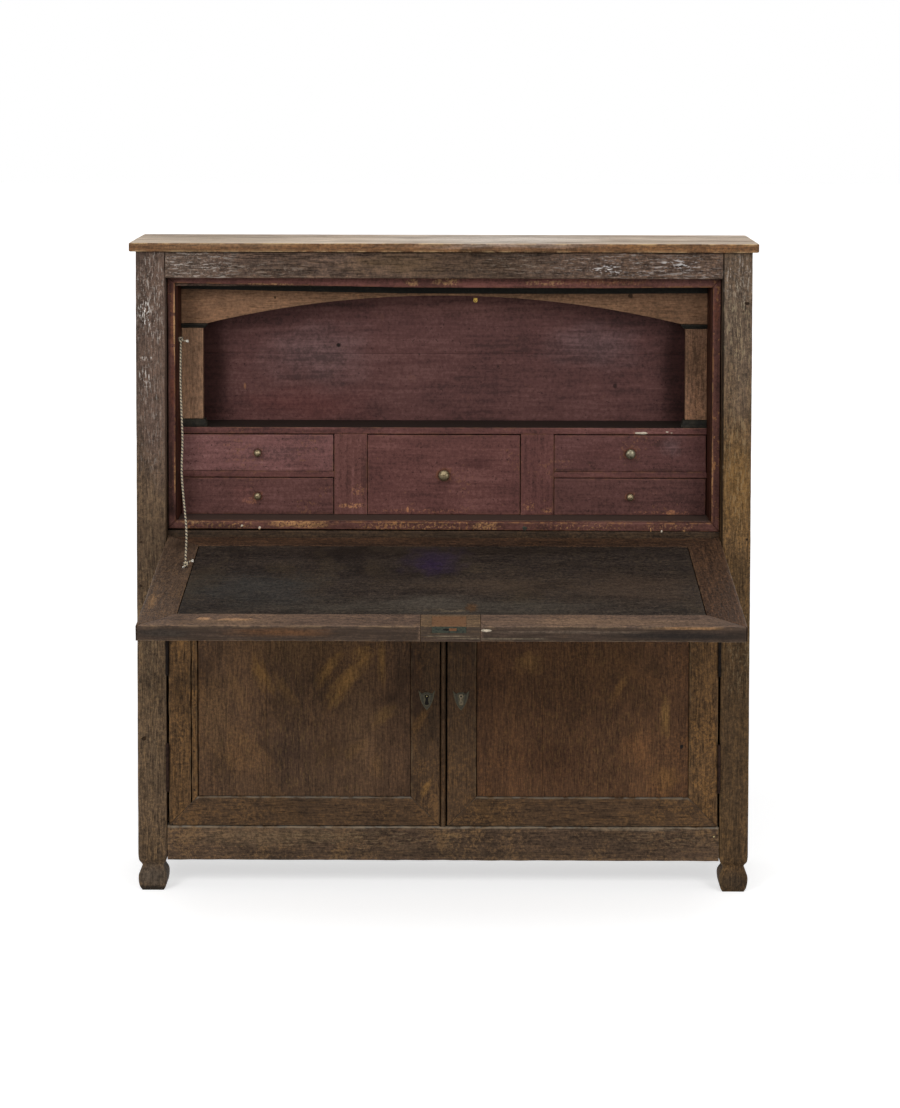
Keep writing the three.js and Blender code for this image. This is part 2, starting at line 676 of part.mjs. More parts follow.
function buildPivot(name, side) {
  const x = outward(side, flapHalfWidth - PIVOT_IN_FLAP, stileInner + PIVOT_IN_STILE);
  place(`flap_pivot_${name}`, rodAlongX(PIVOT_RADIUS, x, pivotY, pivotZ), rustyIron);
}

function buildDoor(name, side) {
  const meeting = side < 0 ? astragalHalf + SEAT : astragalHalf + DOOR_MEETING_GAP;
  const x = outward(side, meeting, doorOuter);
  const panelFace = DOOR_PANEL_RECESS;
  const tongueMiddle = panelFace + DOOR_PANEL_THICKNESS / 2;
  const tongue = [tongueMiddle - TONGUE_THICKNESS / 2, tongueMiddle + TONGUE_THICKNESS / 2];
  const opening = {
    x: [x[0] + DOOR_MEMBER_WIDTH, x[1] - DOOR_MEMBER_WIDTH],
    low: doorLow + DOOR_MEMBER_WIDTH,
    high: doorTop - DOOR_MEMBER_WIDTH,
  };
  const meetingMiddle = side * (meeting + DOOR_MEMBER_WIDTH / 2);
  const frame = cut(
    board(x, [0, DOOR_THICKNESS], [doorLow, doorTop]),
    panelBlock(opening, 0, [-CUT, DOOR_THICKNESS + CUT]),
    panelBlock(opening, GROOVE_DEPTH, [tongue[0] - SEAT, tongue[1] + SEAT]),
    keyholeCutter(meetingMiddle, escutcheonZ, [-CUT, DOOR_THICKNESS + CUT]),
  );
  place(`door_${name}_frame`, frame, doorOak);
  const field = {
    x: [opening.x[0] + SEAT, opening.x[1] - SEAT], low: opening.low + SEAT, high: opening.high - SEAT,
  };
  const panel = solidOf(panelBlock(field, 0, [panelFace, panelFace + DOOR_PANEL_THICKNESS]))
    .add(solidOf(panelBlock(opening, GROOVE_DEPTH - TONGUE_PLAY, tongue)));
  place(`door_${name}_panel`, panel, doorOak);
  place(`door_${name}_escutcheon`, escutcheon(meetingMiddle), darkBronze);
}

// A small shield with flared upper corners, a pointed foot and a keyhole
function escutcheon(x) {
  const w = ESCUTCHEON_WIDTH / 2;
  const h = ESCUTCHEON_HEIGHT / 2;
  const halfOutlineShares = [
    [0, 0.8], [0.35, 0.72], [0.62, 0.86], [1, 1], [0.78, 0.62], [0.82, 0.1], [0.62, -0.35], [0.3, -0.72],
  ];
  const at = (side) => ([a, b]) => new THREE.Vector2(x + side * a * w, escutcheonZ + b * h);
  const right = halfOutlineShares.map(at(1));
  const left = halfOutlineShares.slice(1).reverse().map(at(-1));
  const tip = new THREE.Vector2(x, escutcheonZ - h);
  const shape = new THREE.Shape([...right, tip, ...left]);
  shape.holes.push(keyholeOutline(x, escutcheonZ));
  return alongY(shape, [-ESCUTCHEON_THICKNESS - SEAT, -SEAT]);
}

// The strip that covers the gap between the doors: square behind, half round in front
function buildAstragal() {
  const shape = new THREE.Shape();
  shape.moveTo(astragalHalf, DOOR_THICKNESS);
  shape.lineTo(-astragalHalf, DOOR_THICKNESS);
  shape.lineTo(-astragalHalf, 0);
  shape.absellipse(0, 0, astragalHalf, ASTRAGAL_RISE, Math.PI, Math.PI * 2, false);
  shape.closePath();
  place('door_left_astragal', alongZ(shape, [doorLow, doorTop]), doorOak);
}

// The fixed half of a door hinge: a knuckle before the joint and a leaf on the stile's edge
function buildHinge(name, side, z) {
  const x = side * (stileInner - DOOR_HINGE_GAP / 2);
  const knuckleY = -HINGE_RADIUS - SEAT;
  const knuckle = new THREE.CylinderGeometry(HINGE_RADIUS, HINGE_RADIUS, z[1] - z[0], ROUND_SIDES)
    .rotateX(Math.PI / 2).translate(x, knuckleY, (z[0] + z[1]) / 2);
  const leafOuter = stileInner - SEAT;
  const leafX = outward(side, leafOuter - HINGE_LEAF_THICKNESS, leafOuter);
  const leaf = board(leafX, [knuckleY, HINGE_LEAF_DEPTH], z);
  place(name, solidOf(knuckle).add(solidOf(leaf)), rustyIron);
}

function buildHinges() {
  const lower = [doorLow + HINGE_INSET, doorLow + HINGE_INSET + HINGE_LENGTH];
  const upper = [doorTop - HINGE_INSET - HINGE_LENGTH, doorTop - HINGE_INSET];
  for (const [name, side] of SIDES) {
    buildHinge(`door_hinge_${name}_lower`, side, lower);
    buildHinge(`door_hinge_${name}_upper`, side, upper);
  }
}

// From the knot beside the lining to the knot on the open flap's inner face
function ropeRoute() {
  const knot = SEAT + ROPE_KNOT_RADIUS;
  const tieZ = shelfTop + clearAboveShelf * ROPE_TIE_SHARE;
  const tie = new THREE.Vector3(knot - linerInner, ROPE_TIE_SET_BACK, tieZ);
  const onFlap = new THREE.Vector3(
    ROPE_FLAP_INSET - flapHalfWidth, flapHalfThickness + knot, flapHead * ROPE_FLAP_SHARE,
  ).applyEuler(flap.rotation).add(flap.position);
  const way = onFlap.clone().sub(tie);
  const between = ROPE_SAG_SHARES.map((shares) => new THREE.Vector3(...shares).multiply(way).add(tie));
  return new THREE.CatmullRomCurve3([tie, ...between, onFlap]);
}

// A round section swept along the rope's route, with a lump for the knot at each end
function buildRope() {
  const route = ropeRoute();
  const section = new THREE.Shape();
  section.absarc(0, 0, ROPE_DIAMETER / 2, 0, Math.PI * 2, false);
  const tube = new THREE.ExtrudeGeometry(section, {
    steps: ROPE_STEPS, bevelEnabled: false, curveSegments: ROPE_SIDES, extrudePath: route,
  });
  const knots = [route.getPoint(0), route.getPoint(1)].map(({ x, y, z }) => solidOf(
    new THREE.SphereGeometry(ROPE_KNOT_RADIUS, ROPE_SIDES, ARC_STEPS / 2).translate(x, y, z),
  ));
  place('stay_rope', solidOf(tube).add(knots[0]).add(knots[1]), ropeFibre);
}

buildTopBoard();
for (const [name, side] of SIDES) {
  buildFrontStile(name, side);
  buildSidePlank(name, side);
  buildLiner(name, side);
  buildPilaster(name, side);
  buildPivot(name, side);
  buildDoor(name, side);
}
buildRails();
buildBack();
buildFloors();
buildStopStrips();
buildGallery();
buildArch();
buildDrawers();
buildFlap();
buildAstragal();
buildHinges();
buildRope();

export default cabinet;
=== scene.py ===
"""A fall-front writing cabinet in old oak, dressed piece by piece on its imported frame.

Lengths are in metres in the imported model's own frame: +Z up, the front toward -Y.
"""
import logging
import math
import operator
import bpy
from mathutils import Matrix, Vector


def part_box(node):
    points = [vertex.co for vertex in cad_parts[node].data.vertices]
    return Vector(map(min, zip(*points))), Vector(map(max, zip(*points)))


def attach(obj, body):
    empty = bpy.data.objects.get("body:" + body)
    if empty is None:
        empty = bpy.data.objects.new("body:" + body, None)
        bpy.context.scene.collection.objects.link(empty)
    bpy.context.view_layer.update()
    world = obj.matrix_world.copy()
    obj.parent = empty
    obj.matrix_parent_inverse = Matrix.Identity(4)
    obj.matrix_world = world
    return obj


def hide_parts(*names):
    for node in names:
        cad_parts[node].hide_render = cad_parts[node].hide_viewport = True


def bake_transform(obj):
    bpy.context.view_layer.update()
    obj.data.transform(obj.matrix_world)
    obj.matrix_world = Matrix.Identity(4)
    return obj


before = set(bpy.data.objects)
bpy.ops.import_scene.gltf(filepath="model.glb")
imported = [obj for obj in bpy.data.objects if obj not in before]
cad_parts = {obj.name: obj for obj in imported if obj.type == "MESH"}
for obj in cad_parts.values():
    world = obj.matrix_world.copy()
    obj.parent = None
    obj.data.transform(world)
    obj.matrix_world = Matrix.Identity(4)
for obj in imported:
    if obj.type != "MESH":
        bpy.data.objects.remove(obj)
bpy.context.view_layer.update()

import zlib
from collections.abc import Sequence
from dataclasses import dataclass, replace
from enum import Enum
from functools import reduce

import bpy
import numpy as np
from mathutils import Matrix, Vector

logging.basicConfig(level=logging.INFO, format="%(message)s")
log = logging.getLogger("cabinet")

Pair = tuple[float, float]
Triple = tuple[float, float, float]

# The front faces of the posts, which the rope's route starts from
FRONT_Y = float(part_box("front_stile_left")[0].y)
# The Y of the faces that stains, worn places, flecks and patches of painted light and shade were measured on
POST_FACE, DOOR_FACE, PANEL_FACE, GALLERY_FACE, BACK_FACE = 0.137, 0.139, 0.1413, 0.249, 0.362
TOP_EDGE, TOP_MIDDLE = 0.124, 0.26
ARC_POINTS = 4
MM = 0.001
# How much a mitred bar is short at each end, the keen arris along a mitre, and the least gap
PLAY, KEEN, HAIR = 0.0004, 0.0003, 0.0003
# Rays that see the white room: the camera's own, and those that metal and glass send on
SEEN_BY = ("Is Camera Ray", "Is Glossy Ray", "Is Transmission Ray")
# The colours of dark creases among the flecks, and of dust
CREASE, DUST = "231c17", "857f74"
# Noise stretched along the fibres: cells in a metre along and across them
BROAD, STREAK, FIBRE = (1.1, 11, 11), (9, 140, 140), (36, 330, 330)
GROOVE, PORE, DASH, BRUSH, COMB = (20, 290, 290), (45, 480, 480), (55, 330, 330), (7, 100, 100), (4, 60, 60)


class Plane(Enum):
    """The two axes that a board's outline is drawn in; its thickness runs along the third."""

    XY = (0, 1, 2)
    XZ = (0, 2, 1)
    YZ = (1, 2, 0)


class Grain(Enum):
    """The axis that the wood's fibres run along."""

    ALONG_X = (0, 1, 2)
    ALONG_Y = (1, 0, 2)
    ALONG_Z = (2, 0, 1)


ALONG_X, ALONG_Y, ALONG_Z = Grain


def digits(code: str) -> np.ndarray:
    """Read six hexadecimal digits as red, green and blue from 0 to 255."""
    return np.array([int(code[i : i + 2], 16) for i in (0, 2, 4)])


def written(parts: np.ndarray) -> str:
    """Write red, green and blue, each 255 at most, as six hexadecimal digits."""
    return "".join(f"{int(round(min(v, 255))):02x}" for v in parts)


def linear(code: str) -> tuple[float, float, float, float]:
    """Turn a written colour such as 4b3927 into the linear values that shaders take.

    Args:
        code: six hexadecimal digits.

    Returns:
        Red, green, blue and an alpha of one.
    """
    parts = digits(code) / 255
    values = np.where(parts <= 0.04045, parts / 12.92, ((parts + 0.055) / 1.055) ** 2.4)
    return (*values.tolist(), 1.0)


def seed_of(name: str) -> int:
    """Give each piece its own fixed seed, worked out from its name."""
    return zlib.crc32(name.encode())


def run_along(path: np.ndarray) -> np.ndarray:
    """Give the distance from the start of a path to each of its points."""
    return np.concatenate([[0], np.cumsum(np.linalg.norm(np.diff(path, axis=0), axis=1))])


def waver(run: np.ndarray, seed: int, lengths: Sequence[float]) -> np.ndarray:
    """Average sines of several wavelengths along a run, each with a phase drawn from the seed.

    Args:
        run: distances along an edge.
        seed: what the phases are drawn from.
        lengths: wavelengths in metres.

    Returns:
        Values between -1 and 1.
    """
    phases = np.random.default_rng(seed).uniform(0, 2 * math.pi, len(lengths))
    waves = np.sin(2 * math.pi * run[:, None] / np.asarray(lengths) + phases)
    return waves.mean(1)


@dataclass
class Skin:
    """A surface with the attributes that the finishes read.

    edge is 1 on a rounded arris and 0 on a flat; wood is the place within the board, with the
    distance along the fibres first.
    """

    points: np.ndarray
    faces: list[list[int]]
    edge: np.ndarray
    wood: np.ndarray

    def __add__(self, other: "Skin") -> "Skin":
        """Lay two surfaces in one mesh.

        Args:
            other: the second surface.

        Returns:
            Both as one.
        """
        start = len(self.points)
        return Skin(
            np.vstack([self.points, other.points]),
            self.faces + [[i + start for i in face] for face in other.faces],
            np.concatenate([self.edge, other.edge]),
            np.vstack([self.wood, other.wood]),
        )

    def moved(self, matrix: Matrix) -> "Skin":
        """Turn and shift the points, and leave the wood's own places alone.

        Args:
            matrix: how they move.

        Returns:
            The moved surface.
        """
        turn = np.array(matrix)
        points = self.points @ turn[:3, :3].T + turn[:3, 3]
        return Skin(points, self.faces, self.edge, self.wood)


def joined(skins: Sequence[Skin]) -> Skin:
    """Lay several surfaces in one mesh."""
    return reduce(operator.add, skins)


def grain_places(points: np.ndarray, grain: Grain, name: str) -> np.ndarray:
    """Put the fibre axis first and shift each board to its own part of the pattern."""
    shift = np.random.default_rng(seed_of(name)).uniform(-4, 4, 3)
    return points[:, list(grain.value)] + shift


def band_faces(rings: int, around: int) -> list[list[int]]:
    """Join neighbouring rings of a grid that closes on itself around, and cap both its ends.

    Args:
        rings: how many rings there are.
        around: points in each.

    Returns:
        The faces, as the numbers of their points.
    """
    i, j = np.meshgrid(np.arange(rings - 1), np.arange(around), indexing="ij")
    k = (j + 1) % around
    quads = np.stack([i * around + j, i * around + k, (i + 1) * around + k, (i + 1) * around + j], -1)
    last = (rings - 1) * around
    caps = [list(range(around))[::-1], list(range(last, last + around))]
    return quads.reshape(-1, 4).tolist() + caps


@dataclass
class Outline:
    """A board's outline: anticlockwise corners, the arris of each side, each corner's rounding."""

    corners: Sequence[Pair]
    arris: float | Sequence[float] = 0.0015
    rounding: float | Sequence[float] = 0.0015
    spacing: float = 0.02


@dataclass
class Slab:
    """A board cut to an outline, with rounded and unevenly worn arrises.

    Round the outline runs u. Across the thickness runs v: a flat rim, a quarter circle (inset
    r(1-sin v), height r(1-cos v)), the edge, and the same again to the other face. The radius r
    wavers along u, and the outline draws in by a wavering amount. A corner's inset d satisfies
    n1.d = inset of the side before and n2.d = inset of the side after, so mitres stay true. A
    corner's curve is (1-s)^2 P + 2s(1-s) C + s^2 Q, for P and Q on its two sides.
    """

    name: str
    outline: Outline
    span: Pair
    plane: Plane
    grain: Grain
    wear: float = 0.3
    ragged: float = 0.0002
    keen: float = 0.0005

    def __post_init__(self) -> None:
        """Work out the sides, their normals and the radii."""
        self.at = np.asarray(self.outline.corners, float)
        count = len(self.at)
        side = np.roll(self.at, -1, 0) - self.at
        self.length = np.linalg.norm(side, axis=1)
        self.way = side / self.length[:, None]
        self.out = np.stack([self.way[:, 1], -self.way[:, 0]], 1)
        self.start = np.concatenate([[0], np.cumsum(self.length)[:-1]])
        thick = self.span[1] - self.span[0]
        self.most = 0.499 * thick
        self.edge = np.minimum(np.broadcast_to(np.asarray(self.outline.arris, float), count), 0.49 * thick)
        curve = np.broadcast_to(np.asarray(self.outline.rounding, float), count)
        self.curve = np.minimum(curve, 0.4 * np.minimum(self.length, np.roll(self.length, 1)))
        self.rim = min(0.005, 0.12 * np.ptp(self.at, axis=0).min())

    def worn(self, run: np.ndarray, side: int) -> tuple[np.ndarray, np.ndarray]:
        """Find the arris radius and the drawing in at places along one side.

        Args:
            run: distances round the outline.
            side: which side they lie on.

        Returns:
            Radii and drawing in.
        """
        seed = seed_of(self.name)
        soft = self.edge[side] > self.keen
        radius = self.edge[side] * (1 + soft * self.wear * waver(run, seed, (0.31, 0.097, 0.043)))
        draw = soft * self.ragged * (0.5 + 0.5 * waver(run, seed + 1, (0.23, 0.071, 0.029)))
        return np.clip(radius, 0.0001, self.most), draw

    def levels(self, radius: np.ndarray) -> tuple[np.ndarray, np.ndarray, np.ndarray]:
        """Lay out the rings across the thickness.

        Args:
            radius: one for each point round the outline.

        Returns:
            For every ring and point the inset and the height, and for every ring the edge value.
        """
        low, high = self.span
        bend = np.linspace(0, math.pi / 2, ARC_POINTS)[:, None]
        side = np.clip(0.35 * (high - low - 2 * radius), 0, 0.005)
        zero = np.zeros_like(radius)
        inward, upward = radius * (1 - np.sin(bend)), radius * (1 - np.cos(bend))
        rim = radius + self.rim
        inset = np.vstack([rim, inward, zero, zero, inward[::-1], rim])
        below = [zero + low, low + upward, low + radius + side]
        above = [high - radius - side, high - upward[::-1], zero + high]
        hot = np.sin(np.linspace(0.15, math.pi - 0.15, ARC_POINTS))
        return inset, np.vstack([*below, *above]), np.concatenate([[0], hot, [0, 0], hot, [0]])

    def corner(self, i: int, before: np.ndarray, after: np.ndarray) -> np.ndarray:
        """Move a corner in by one inset from each of its sides.

        Args:
            i: which corner.
            before: insets from the side that ends there.
            after: insets from the side that starts there.

        Returns:
            One place for each pair of insets.
        """
        n, m = self.out[i - 1], self.out[i]
        cross = n[0] * m[1] - n[1] * m[0]
        if abs(cross) > 0.2:
            shift = np.stack([before * m[1] - after * n[1], after * n[0] - before * m[0]], 1) / cross
        else:
            shift = np.outer(0.5 * (before + after), (n + m) / (1 + n @ m))
        return self.at[i] - shift

    def skin(self) -> Skin:
        """Draw every ring, corner by corner and side by side.

        Returns:
            The board.
        """
        flat, rise, edge = [], [], []
        count = len(self.at)
        reach = 1.6 * self.edge + self.rim + self.ragged
        for i in range(count):
            j = (i + 1) % count
            run = self.start[i : i + 1]
            first, draw_first = self.worn(run, i - 1)
            second, draw_second = self.worn(run, i)
            before, _, hot = self.levels(first)
            after, _, _ = self.levels(second)
            _, height, _ = self.levels(np.maximum(first, second))
            before, after = before[:, 0] + draw_first, after[:, 0] + draw_second
            place = self.corner(i, before, after)
            points = place[:, None]
            if self.curve[i] > 0:
                s = np.linspace(0, 1, ARC_POINTS)[:, None]
                near = self.curve[i] - np.maximum(before, after)
                near = np.clip(near, 0.2 * self.curve[i], None)[:, None, None]
                start, end = points - self.way[i - 1] * near, points + self.way[i] * near
                points = (1 - s) ** 2 * start + 2 * s * (1 - s) * points + s**2 * end
            flat.append(points)
            rise.append(np.repeat(height, points.shape[1], 1))
            soft = 1.0 if min(self.edge[i - 1], self.edge[i]) > self.keen else 0.3
            edge.append(np.repeat(hot[:, None] * soft, points.shape[1], 1))
            ends = [self.at[k] - self.corner(k, reach[[k - 1]], reach[[k]])[0] for k in (i, j)]
            taken = [max(self.curve[k], 1.15 * abs(end @ self.way[i])) for k, end in zip((i, j), ends)]
            low, high = taken[0] + 0.0005, self.length[i] - taken[1] - 0.0005
            if high > low:
                t = np.linspace(low, high, max(1, round((high - low) / self.outline.spacing)) + 1)
                radius, draw = self.worn(self.start[i] + t, i)
                inset, height, hot = self.levels(radius)
                line = self.at[i] + t[:, None] * self.way[i]
                flat.append(line[None] - self.out[i] * (inset + draw)[..., None])
                rise.append(height)
                edge.append(np.repeat(hot[:, None] * float(self.edge[i] > self.keen), len(t), 1))
        return self.assemble(np.concatenate(flat, 1), np.concatenate(rise, 1), np.concatenate(edge, 1))

    def assemble(self, flat: np.ndarray, rise: np.ndarray, edge: np.ndarray) -> Skin:
        """Turn rings in the outline's plane into a surface.

        Args:
            flat: places in the outline's plane, ring by ring.
            rise: heights along the thickness.
            edge: the edge attribute.

        Returns:
            The board.
        """
        points = np.empty((*rise.shape, 3))
        a, b, c = self.plane.value
        points[..., a], points[..., b], points[..., c] = flat[..., 0], flat[..., 1], rise
        faces = band_faces(*rise.shape)
        if self.plane is Plane.XZ:
            faces = [face[::-1] for face in faces]
        points = points.reshape(-1, 3)
        return Skin(points, faces, edge.ravel(), grain_places(points, self.grain, self.name))


def rectangle(a: Pair, b: Pair) -> list[Pair]:
    """The corners of a rectangle, anticlockwise from its lowest."""
    return [(a[0], b[0]), (a[1], b[0]), (a[1], b[1]), (a[0], b[1])]


def board(
    name: str,
    x: Pair,
    y: Pair,
    z: Pair,
    grain: Grain,
    arris: float = 0.0015,
    wear: float = 0.3,
    ragged: float = 0.0002,
) -> Skin:
    """A plain board between two values on each axis, laid in the plane of its widest face.

    Args:
        name: what its wear is drawn from.
        x: its span on X.
        y: its span on Y.
        z: its span on Z.
        grain: which way the fibres run.
        arris: the radius of its arrises.
        wear: how much the radius wavers.
        ragged: how far the outline draws in.

    Returns:
        The board.
    """
    size = {Plane.XY: z, Plane.XZ: y, Plane.YZ: x}
    plane = min(size, key=lambda p: size[p][1] - size[p][0])
    a, b = {Plane.XY: (x, y), Plane.XZ: (x, z), Plane.YZ: (y, z)}[plane]
    outline = Outline(rectangle(a, b), arris, arris)
    return Slab(name, outline, size[plane], plane, grain, wear, ragged).skin()


def mitres(a: Pair, b: Pair, width: float) -> dict[str, list[Pair]]:
    """Draw four mitred bars inside a rectangle, each anticlockwise from its outer side.

    Args:
        a: the rectangle's span on its first axis.
        b: the rectangle's span on its second axis.
        width: the bars' width.

    Returns:
        Each bar's corners by its side.
    """
    outer = rectangle(a, b)
    inner = rectangle((a[0] + width, a[1] - width), (b[0] + width, b[1] - width))
    sides = enumerate(("bottom", "east", "top", "west"))
    return {name: [outer[i], outer[(i + 1) % 4], inner[(i + 1) % 4], inner[i]] for i, name in sides}


def mitred_bar(
    name: str,
    corners: Sequence[Pair],
    through: Pair,
    lies: bool,
    arris: Sequence[float],
    wear: float,
    ragged: float,
    spacing: float = 0.02,
) -> Skin:
    """Cut a mitred bar that looks forward, a hair short at both ends.

    Args:
        name: what its wear is drawn from.
        corners: two outer corners, then the inner ones.
        through: its span on Y.
        lies: true for a bar along X, false for one along Z.
        arris: the radius of each side's arris.
        wear: how much the radius wavers.
        ragged: how far the outline draws in.
        spacing: the distance between points along it.

    Returns:
        The bar.
    """
    at = np.array(corners)
    axis = 0 if lies else 1
    ends = [0, 1, 2, len(at) - 1]
    middle = 0.5 * (at[:, axis].min() + at[:, axis].max())
    at[ends, axis] -= np.sign(at[ends, axis] - middle) * PLAY
    grain = ALONG_X if lies else ALONG_Z
    outline = Outline(at.tolist(), arris, 0.0, spacing)
    return Slab(name, outline, through, Plane.XZ, grain, wear, ragged).skin()


def node_span(node: str) -> tuple[Pair, Pair, Pair]:
    """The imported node's extent on each axis."""
    low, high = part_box(node)
    return tuple((float(low[i]), float(high[i])) for i in range(3))


def turned(profile: np.ndarray, centre: Triple, sides: int) -> Skin:
    """Turn a profile of (distance along, radius) about an axis that runs forward.

    A point is centre + along * axis + radius * (cos u, sin u) across it.

    Args:
        profile: rows of distance along the axis and radius, from the foot to the tip.
        centre: where the axis starts.
        sides: points around.

    Returns:
        The closed surface.
    """
    u = np.linspace(0, 2 * math.pi, sides, endpoint=False)
    along = np.repeat(profile[:, :1], sides, 1)
    rings = np.stack([profile[:, 1:] * np.cos(u), -along, profile[:, 1:] * np.sin(u)], -1)
    points = rings.reshape(-1, 3) + np.asarray(centre)
    faces = band_faces(*along.shape)
    return Skin(points, faces, np.zeros(len(points)), points.copy())


def tube(path: np.ndarray, radius: np.ndarray, sides: int = 8) -> Skin:
    """Carry a circle along a path with a frame that turns as little as it can.

    Args:
        path: points, in order.
        radius: one for each point, or a grid of one row per point and one column per side.
        sides: points around.

    Returns:
        The closed tube.
    """
    way = np.gradient(path, axis=0)
    way /= np.linalg.norm(way, axis=1, keepdims=True)
    side = np.zeros_like(way)
    start = np.cross(way[0], (0.0, 0.0, 1.0) if abs(way[0, 2]) < 0.9 else (1.0, 0.0, 0.0))
    side[0] = start / np.linalg.norm(start)
    for i in range(1, len(path)):
        kept = side[i - 1] - way[i] * (side[i - 1] @ way[i])
        side[i] = kept / np.linalg.norm(kept)
    other = np.cross(way, side)
    u = np.linspace(0, 2 * math.pi, sides, endpoint=False)
    radius = radius if np.ndim(radius) == 2 else np.asarray(radius)[:, None]
    grid = np.broadcast_to(radius, (len(path), sides))
    ring = np.cos(u)[None, :, None] * side[:, None] + np.sin(u)[None, :, None] * other[:, None]
    points = (path[:, None] + grid[..., None] * ring).reshape(-1, 3)
    return Skin(points, band_faces(len(path), sides), np.zeros(len(points)), points.copy())


def blots(name: str, places: Sequence[Sequence[float]], y: float, depth: float) -> Skin:
    """Lay thin domed spots with uneven rims on a face that looks toward -Y.

    A spot's rim is (rx cos u, rz sin u) times 1 plus sines of 2u, 3u and 5u. At the share r of
    the rim its height is depth (1 - r^3).

    Args:
        name: what the rims are drawn from.
        places: x, z and the half sizes on both, in metres.
        y: the face.
        depth: how proud the middle stands.

    Returns:
        All the spots.
    """
    u = np.linspace(0, 2 * math.pi, 18, endpoint=False)
    rings = np.array([1.0, 0.97, 0.7, 0.35, 0.05])
    spots = []
    for i, (x, z, rx, rz) in enumerate(places):
        phase = np.random.default_rng(seed_of(name) + i).uniform(0, 2 * math.pi, 3)
        rim = 1 + 0.13 * np.sin(2 * u + phase[0]) + 0.1 * np.sin(3 * u + phase[1])
        rim += 0.06 * np.sin(5 * u + phase[2])
        points = np.empty((len(rings), len(u), 3))
        points[..., 0] = x + rx * rings[:, None] * rim * np.cos(u)
        points[..., 1] = y - depth * (1 - rings[:, None] ** 3)
        points[..., 2] = z + rz * rings[:, None] * rim * np.sin(u)
        flat = points.reshape(-1, 3)
        wood = grain_places(flat, ALONG_X, name)
        spots.append(Skin(flat, band_faces(len(rings), len(u)), np.zeros(len(flat)), wood))
    return joined(spots)


@dataclass(frozen=True)
class Patch:
    """A stain, a worn place, a knock, or a patch of painted light or shade at one place of a finish."""

    centre: Triple
    reach: Triple
    colour: str
    strength: float = 0.7
    soft: float = 0.6
    uneven: float = 0.35
    fine: float = 0.0
    gate: float = 0.5
    lean: float = 0.0


def on_face(y: float, deep: float, *rows: tuple) -> tuple[Patch, ...]:
    """Lay patches on a face that looks forward.

    Args:
        y: the face.
        deep: their reach through it.
        rows: centre x and z, reach in x and z, then a patch's further values.

    Returns:
        The patches.
    """
    return tuple(Patch((x, y, z), (a, deep, c), *rest) for x, z, a, c, *rest in rows)


def shade(code: str, factor: float, grey: float = 0.0) -> str:
    """Darken or lighten a written colour, and draw it a share of the way to its own grey.

    Args:
        code: six hexadecimal digits.
        factor: what each value is multiplied by.
        grey: share of the way to grey.

    Returns:
        The new colour's six digits.
    """
    parts = digits(code) * factor
    return written(parts + (parts.mean() - parts) * grey)


def gilded(code: str, factor: float, warmth: float) -> str:
    """Lighten a written colour and push it toward gold.

    Args:
        code: six hexadecimal digits.
        factor: what each value is multiplied by.
        warmth: 0 keeps the hue, 1 takes half of the blue away and adds a tenth of red.

    Returns:
        The new colour's six digits.
    """
    return written(digits(code) * factor * (1 + 0.1 * warmth, 1.0, 1 - 0.5 * warmth))


class Tree:
    """Adds shader nodes to a material or a world, and joins them."""

    def __init__(self, owner: bpy.types.ID) -> None:
        """Start with no nodes.

        Args:
            owner: the material or world.
        """
        owner.use_nodes = True
        self.tree = owner.node_tree
        self.tree.nodes.clear()

    def add(self, kind: str, inputs: dict | None = None, **settings: object) -> bpy.types.Node:
        """Add a node, with its settings and its inputs joined or set.

        Args:
            kind: Blender's name of the node type.
            inputs: socket name or number to a value or another node's output.
            settings: the node's own properties.

        Returns:
            The node.
        """
        node = self.tree.nodes.new(kind)
        for key, value in settings.items():
            setattr(node, key, value)
        for key, value in (inputs or {}).items():
            if isinstance(value, bpy.types.NodeSocket):
                self.tree.links.new(value, node.inputs[key])
            else:
                node.inputs[key].default_value = value
        return node


